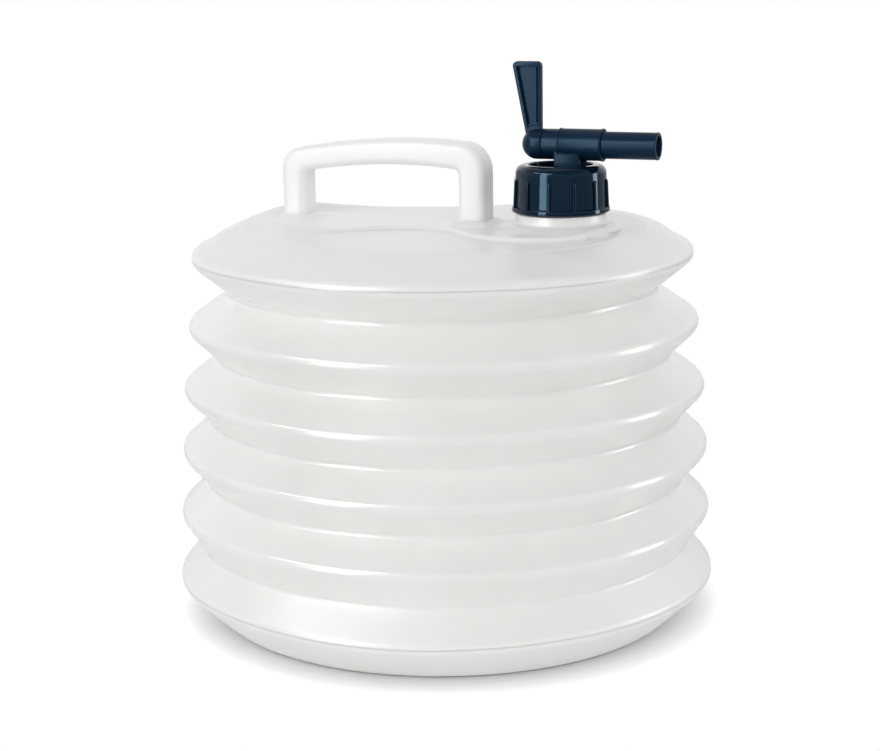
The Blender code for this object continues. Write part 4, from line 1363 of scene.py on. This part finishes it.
def milky_plastic():
    constants = {
        "Subsurface Weight": 1.0, "Subsurface Radius": (1.0, 1.0, 0.95), "Subsurface Scale": 0.0007,
        "IOR": 1.55}
    return plastic(
        "milky_polyethylene", settings().finishes.milk, constants, roughness=0.23, stray=0.03, relief=0.0009,
        waves=22.0, grain=700.0, grain_share=0.02, change=duller)


def white_plastic():
    constants = {
        "Subsurface Weight": 0.6, "Subsurface Radius": (1.0, 1.0, 1.0), "Subsurface Scale": 0.003,
        "IOR": 1.45}
    return plastic(
        "white_polyethylene", settings().finishes.handle, constants, roughness=0.38, stray=0.04,
        relief=0.0002, waves=60.0, grain=900.0, grain_share=0.05)


def glossy_navy():
    constants = {"IOR": 1.50, "Specular Tint": (0.20, 0.36, 0.50, 1.0)}
    return plastic(
        "glossy_navy", settings().finishes.gloss_navy, constants, roughness=0.07, stray=0.02,
        relief=0.00004, waves=90.0, grain=1500.0, grain_share=0.04)


def satin_navy():
    constants = {"IOR": 1.26, "Specular Tint": (0.40, 0.62, 0.85, 1.0)}
    return plastic(
        "satin_navy", settings().finishes.satin_navy, constants, roughness=0.30, stray=0.02,
        relief=0.00003, waves=60.0, grain=2600.0, grain_share=0.10)


def seal_rubber():
    return plastic(
        "seal_rubber", settings().finishes.rubber, {"IOR": 1.45},
        roughness=0.6, stray=0.05, relief=0.0001, waves=120.0, grain=1800.0, grain_share=0.2)


# Stage

# The camera, fitted to the outlines of the ridges: its turn about Z, its downward tilt, its roll, its place,
# and its focal length for a frame 36 mm wide
HEADING = math.radians(21.5)
PITCH = 0.21356
ROLL = 0.013362
EYE = (0.3553, -0.9080, 0.3327)
LENS = 78.07
FRAME_WIDTH = 36.0
FAR = 50.0
# Turns from the viewer's side in degrees, and the cosines between which the light changes
BRIGHT_TURN = -60.0
BRIGHT_FADE = (-0.5, 0.7)
BACKDROP_TURN = -150.0
BACKDROP_FADE = (0.35, 0.75)
# Heights of a direction between which the light changes
LOW_HEIGHTS = (-0.05, 0.10)
OVERHEAD_HEIGHTS = (0.35, 0.85)
FLOOR_DEPTH = 0.01
WHITE = (1, 1, 1, 1)
SOFT = "SMOOTHSTEP"


# Name, turn from the viewer to the right in degrees, distance, height, width and height of the face, glow,
# whether it lights surfaces, and whether it shows in them
SOFTBOXES = (
    ("top_softbox", -120, 0.5, 2.2, (1.6, 1.6), 0.5, True, True),
    ("front_softbox", -5, 1.8, 1.0, (1.6, 1.2), 0.6, True, False),
    ("upper_strip", -54, 1.5, 1.3, (1.7, 0.14), 20.0, False, True),
    ("left_strip", -46, 1.5, 0.50, (0.50, 1.4), 11.0, False, True),
    ("right_strip", 90, 1.5, 0.25, (0.36, 0.9), 9.0, False, True),
)


def softbox(name, place, target, size, power):
    lamp = bpy.data.lights.new(name, "AREA")
    lamp.shape = "RECTANGLE"
    lamp.size, lamp.size_y = size
    lamp.energy = power
    item = bpy.data.objects.new(name, lamp)
    item.location = place
    item.rotation_euler = (Vector(target) - item.location).to_track_quat("-Z", "Y").to_euler()
    bpy.context.scene.collection.objects.link(item)
    return item


class CARRIER_OT_stage(Operator):
    """Set up the floor, the lamps, the surround and the camera"""
    bl_idname = "carrier.stage"
    bl_label = "Stage"

    def execute(self, context):
        sizes = settings().stage
        self.camera()
        self.floor(sizes)
        self.surround(sizes)
        for name, turn, reach, height, size, glow, lights, shows in SOFTBOXES:
            angle = HEADING - UP + math.radians(turn)
            place = (reach * math.cos(angle), reach * math.sin(angle), height)
            power = glow * math.pi * size[0] * size[1] * sizes.lamps
            lamp = softbox(name, place, (NECK_X, 0, TOP_RIDGE_Z), size, power)
            lamp.visible_diffuse = lights
            lamp.visible_glossy = shows
        context.scene.view_settings.view_transform = "Standard"
        return {"FINISHED"}

    def camera(self):
        data = bpy.data.cameras.new("camera")
        data.lens = LENS
        data.sensor_width = FRAME_WIDTH
        data.sensor_fit = "HORIZONTAL"
        data.clip_end = FAR
        item = bpy.data.objects.new("camera", data)
        upright = Matrix.Rotation(UP - PITCH, 4, "X") @ Matrix.Rotation(-ROLL, 4, "Z")
        item.matrix_world = Matrix.Translation(EYE) @ Matrix.Rotation(HEADING, 4, "Z") @ upright
        bpy.context.scene.collection.objects.link(item)
        bpy.context.scene.camera = item

    def floor(self, sizes):
        disc = cylinder(sizes.floor_radius, -FLOOR_DEPTH, 0.0, ROUND_FACETS)
        link("floor", disc, self.floor_material(sizes))

    def floor_material(self, sizes):
        """A pale floor with a contact shade painted into its colour from ambient occlusion, which fades into
        white where the camera sees it.
        """
        material = bpy.data.materials.new("pale_floor")
        material.use_nodes = True
        tree = material.node_tree
        tree.nodes.clear()
        place = node(tree, "ShaderNodeTexCoord").outputs["Object"]
        reach = node(tree, "ShaderNodeVectorMath", {0: place}, operation="LENGTH").outputs["Value"]
        seen = node(tree, "ShaderNodeLightPath").outputs["Is Camera Ray"]
        fade = ramp(tree, reach, sizes.fade_start, sizes.fade_end, 0.0, 1.0, SOFT)
        white = maths(tree, "MULTIPLY", fade, seen)
        # Painted contact shade: ambient occlusion darkens the colour the camera sees on the floor, on top of
        # the real shadow from the lamps.
        near = node(tree, "ShaderNodeAmbientOcclusion", {"Distance": sizes.contact}, samples=8)
        dark = maths(tree, "MULTIPLY_ADD", near.outputs["AO"], sizes.contact_share, 1 - sizes.contact_share)
        pale = settings().finishes.floor[0]
        looks = maths(tree, "MULTIPLY", dark, pale + sizes.floor_gain)
        shade = node(tree, "ShaderNodeMix", {0: seen, 2: pale, 3: looks})
        plain = node(tree, "ShaderNodeBsdfDiffuse", {"Color": shade.outputs[0]})
        glow = node(tree, "ShaderNodeEmission", {"Color": WHITE, "Strength": 1.0})
        self.output(tree, "ShaderNodeOutputMaterial", white, plain, glow)
        return material

    def surround(self, sizes):
        """A studio with a bright side and a backdrop, which the camera itself sees as white."""
        world = bpy.data.worlds.new("surround")
        world.use_nodes = True
        bpy.context.scene.world = world
        tree = world.node_tree
        tree.nodes.clear()
        path = node(tree, "ShaderNodeLightPath").outputs
        shown = maths(tree, "MAXIMUM", path["Is Camera Ray"], path["Is Transmission Ray"])
        direction = node(tree, "ShaderNodeTexCoord").outputs["Generated"]
        lit = self.side(tree, direction, BRIGHT_TURN, BRIGHT_FADE, sizes.dark_sky, sizes.sky)
        near_floor = self.side(tree, direction, BACKDROP_TURN, BACKDROP_FADE, sizes.low_dark, sizes.low_sky)
        height = node(tree, "ShaderNodeSeparateXYZ", {0: direction}).outputs["Z"]
        low = ramp(tree, height, *LOW_HEIGHTS, 1.0, 0.0, SOFT)
        glow = node(tree, "ShaderNodeMix", {0: low, 2: lit, 3: near_floor})
        overhead = ramp(tree, height, *OVERHEAD_HEIGHTS, 1.0, sizes.overhead_share, SOFT)
        light = node(tree, "ShaderNodeBackground", {
            "Color": WHITE, "Strength": maths(tree, "MULTIPLY", glow.outputs[0], overhead)})
        white = node(tree, "ShaderNodeBackground", {"Color": WHITE, "Strength": 1.0})
        self.output(tree, "ShaderNodeOutputWorld", shown, light, white)

    def side(self, tree, direction, turn, fade, dark, bright):
        """Strength of the surround, which is bright on the side that is turned so far from the viewer's."""
        angle = HEADING + math.radians(turn) - UP
        way = (math.cos(angle), math.sin(angle), 0)
        likeness = node(tree, "ShaderNodeVectorMath", {0: direction, 1: way}, operation="DOT_PRODUCT")
        return ramp(tree, likeness.outputs["Value"], *fade, dark, bright, SOFT)

    def output(self, tree, kind, share, first, second):
        mixed = node(tree, "ShaderNodeMixShader", {0: share, 1: first.outputs[0], 2: second.outputs[0]})
        node(tree, kind, {0: mixed.outputs[0]})


class CARRIER_PT_panel(Panel):
    """Lists the steps that build the carrier"""
    bl_idname = "CARRIER_PT_panel"
    bl_label = "Water carrier"
    bl_space_type = "VIEW_3D"
    bl_region_type = "UI"
    bl_category = "Carrier"

    def draw(self, context):
        for step in STEPS:
            self.layout.operator(step.bl_idname)


STEPS = (
    CARRIER_OT_stage, CARRIER_OT_container, CARRIER_OT_deck, CARRIER_OT_handle, CARRIER_OT_neck,
    CARRIER_OT_seal, CARRIER_OT_nut, CARRIER_OT_tap, CARRIER_OT_lever,
)
GROUPS = (
    ContainerSizes, DeckSizes, HandleSizes, NeckSizes, NutSizes, TapSizes, LeverSizes, Finishes, StageSizes,
    CarrierSettings,
)


def register():
    for item in GROUPS + STEPS + (CARRIER_PT_panel,):
        bpy.utils.register_class(item)
    bpy.types.Scene.carrier = PointerProperty(type=CarrierSettings)


def unregister():
    del bpy.types.Scene.carrier
    for item in reversed(GROUPS + STEPS + (CARRIER_PT_panel,)):
        bpy.utils.unregister_class(item)


def main():
    register()
    bpy.ops.carrier.stage()
    bpy.ops.carrier.container()
    bpy.ops.carrier.deck()
    bpy.ops.carrier.handle()
    bpy.ops.carrier.neck()
    bpy.ops.carrier.seal()
    bpy.ops.carrier.nut()
    bpy.ops.carrier.tap()
    bpy.ops.carrier.lever()


if __name__ == "__main__":
    main()
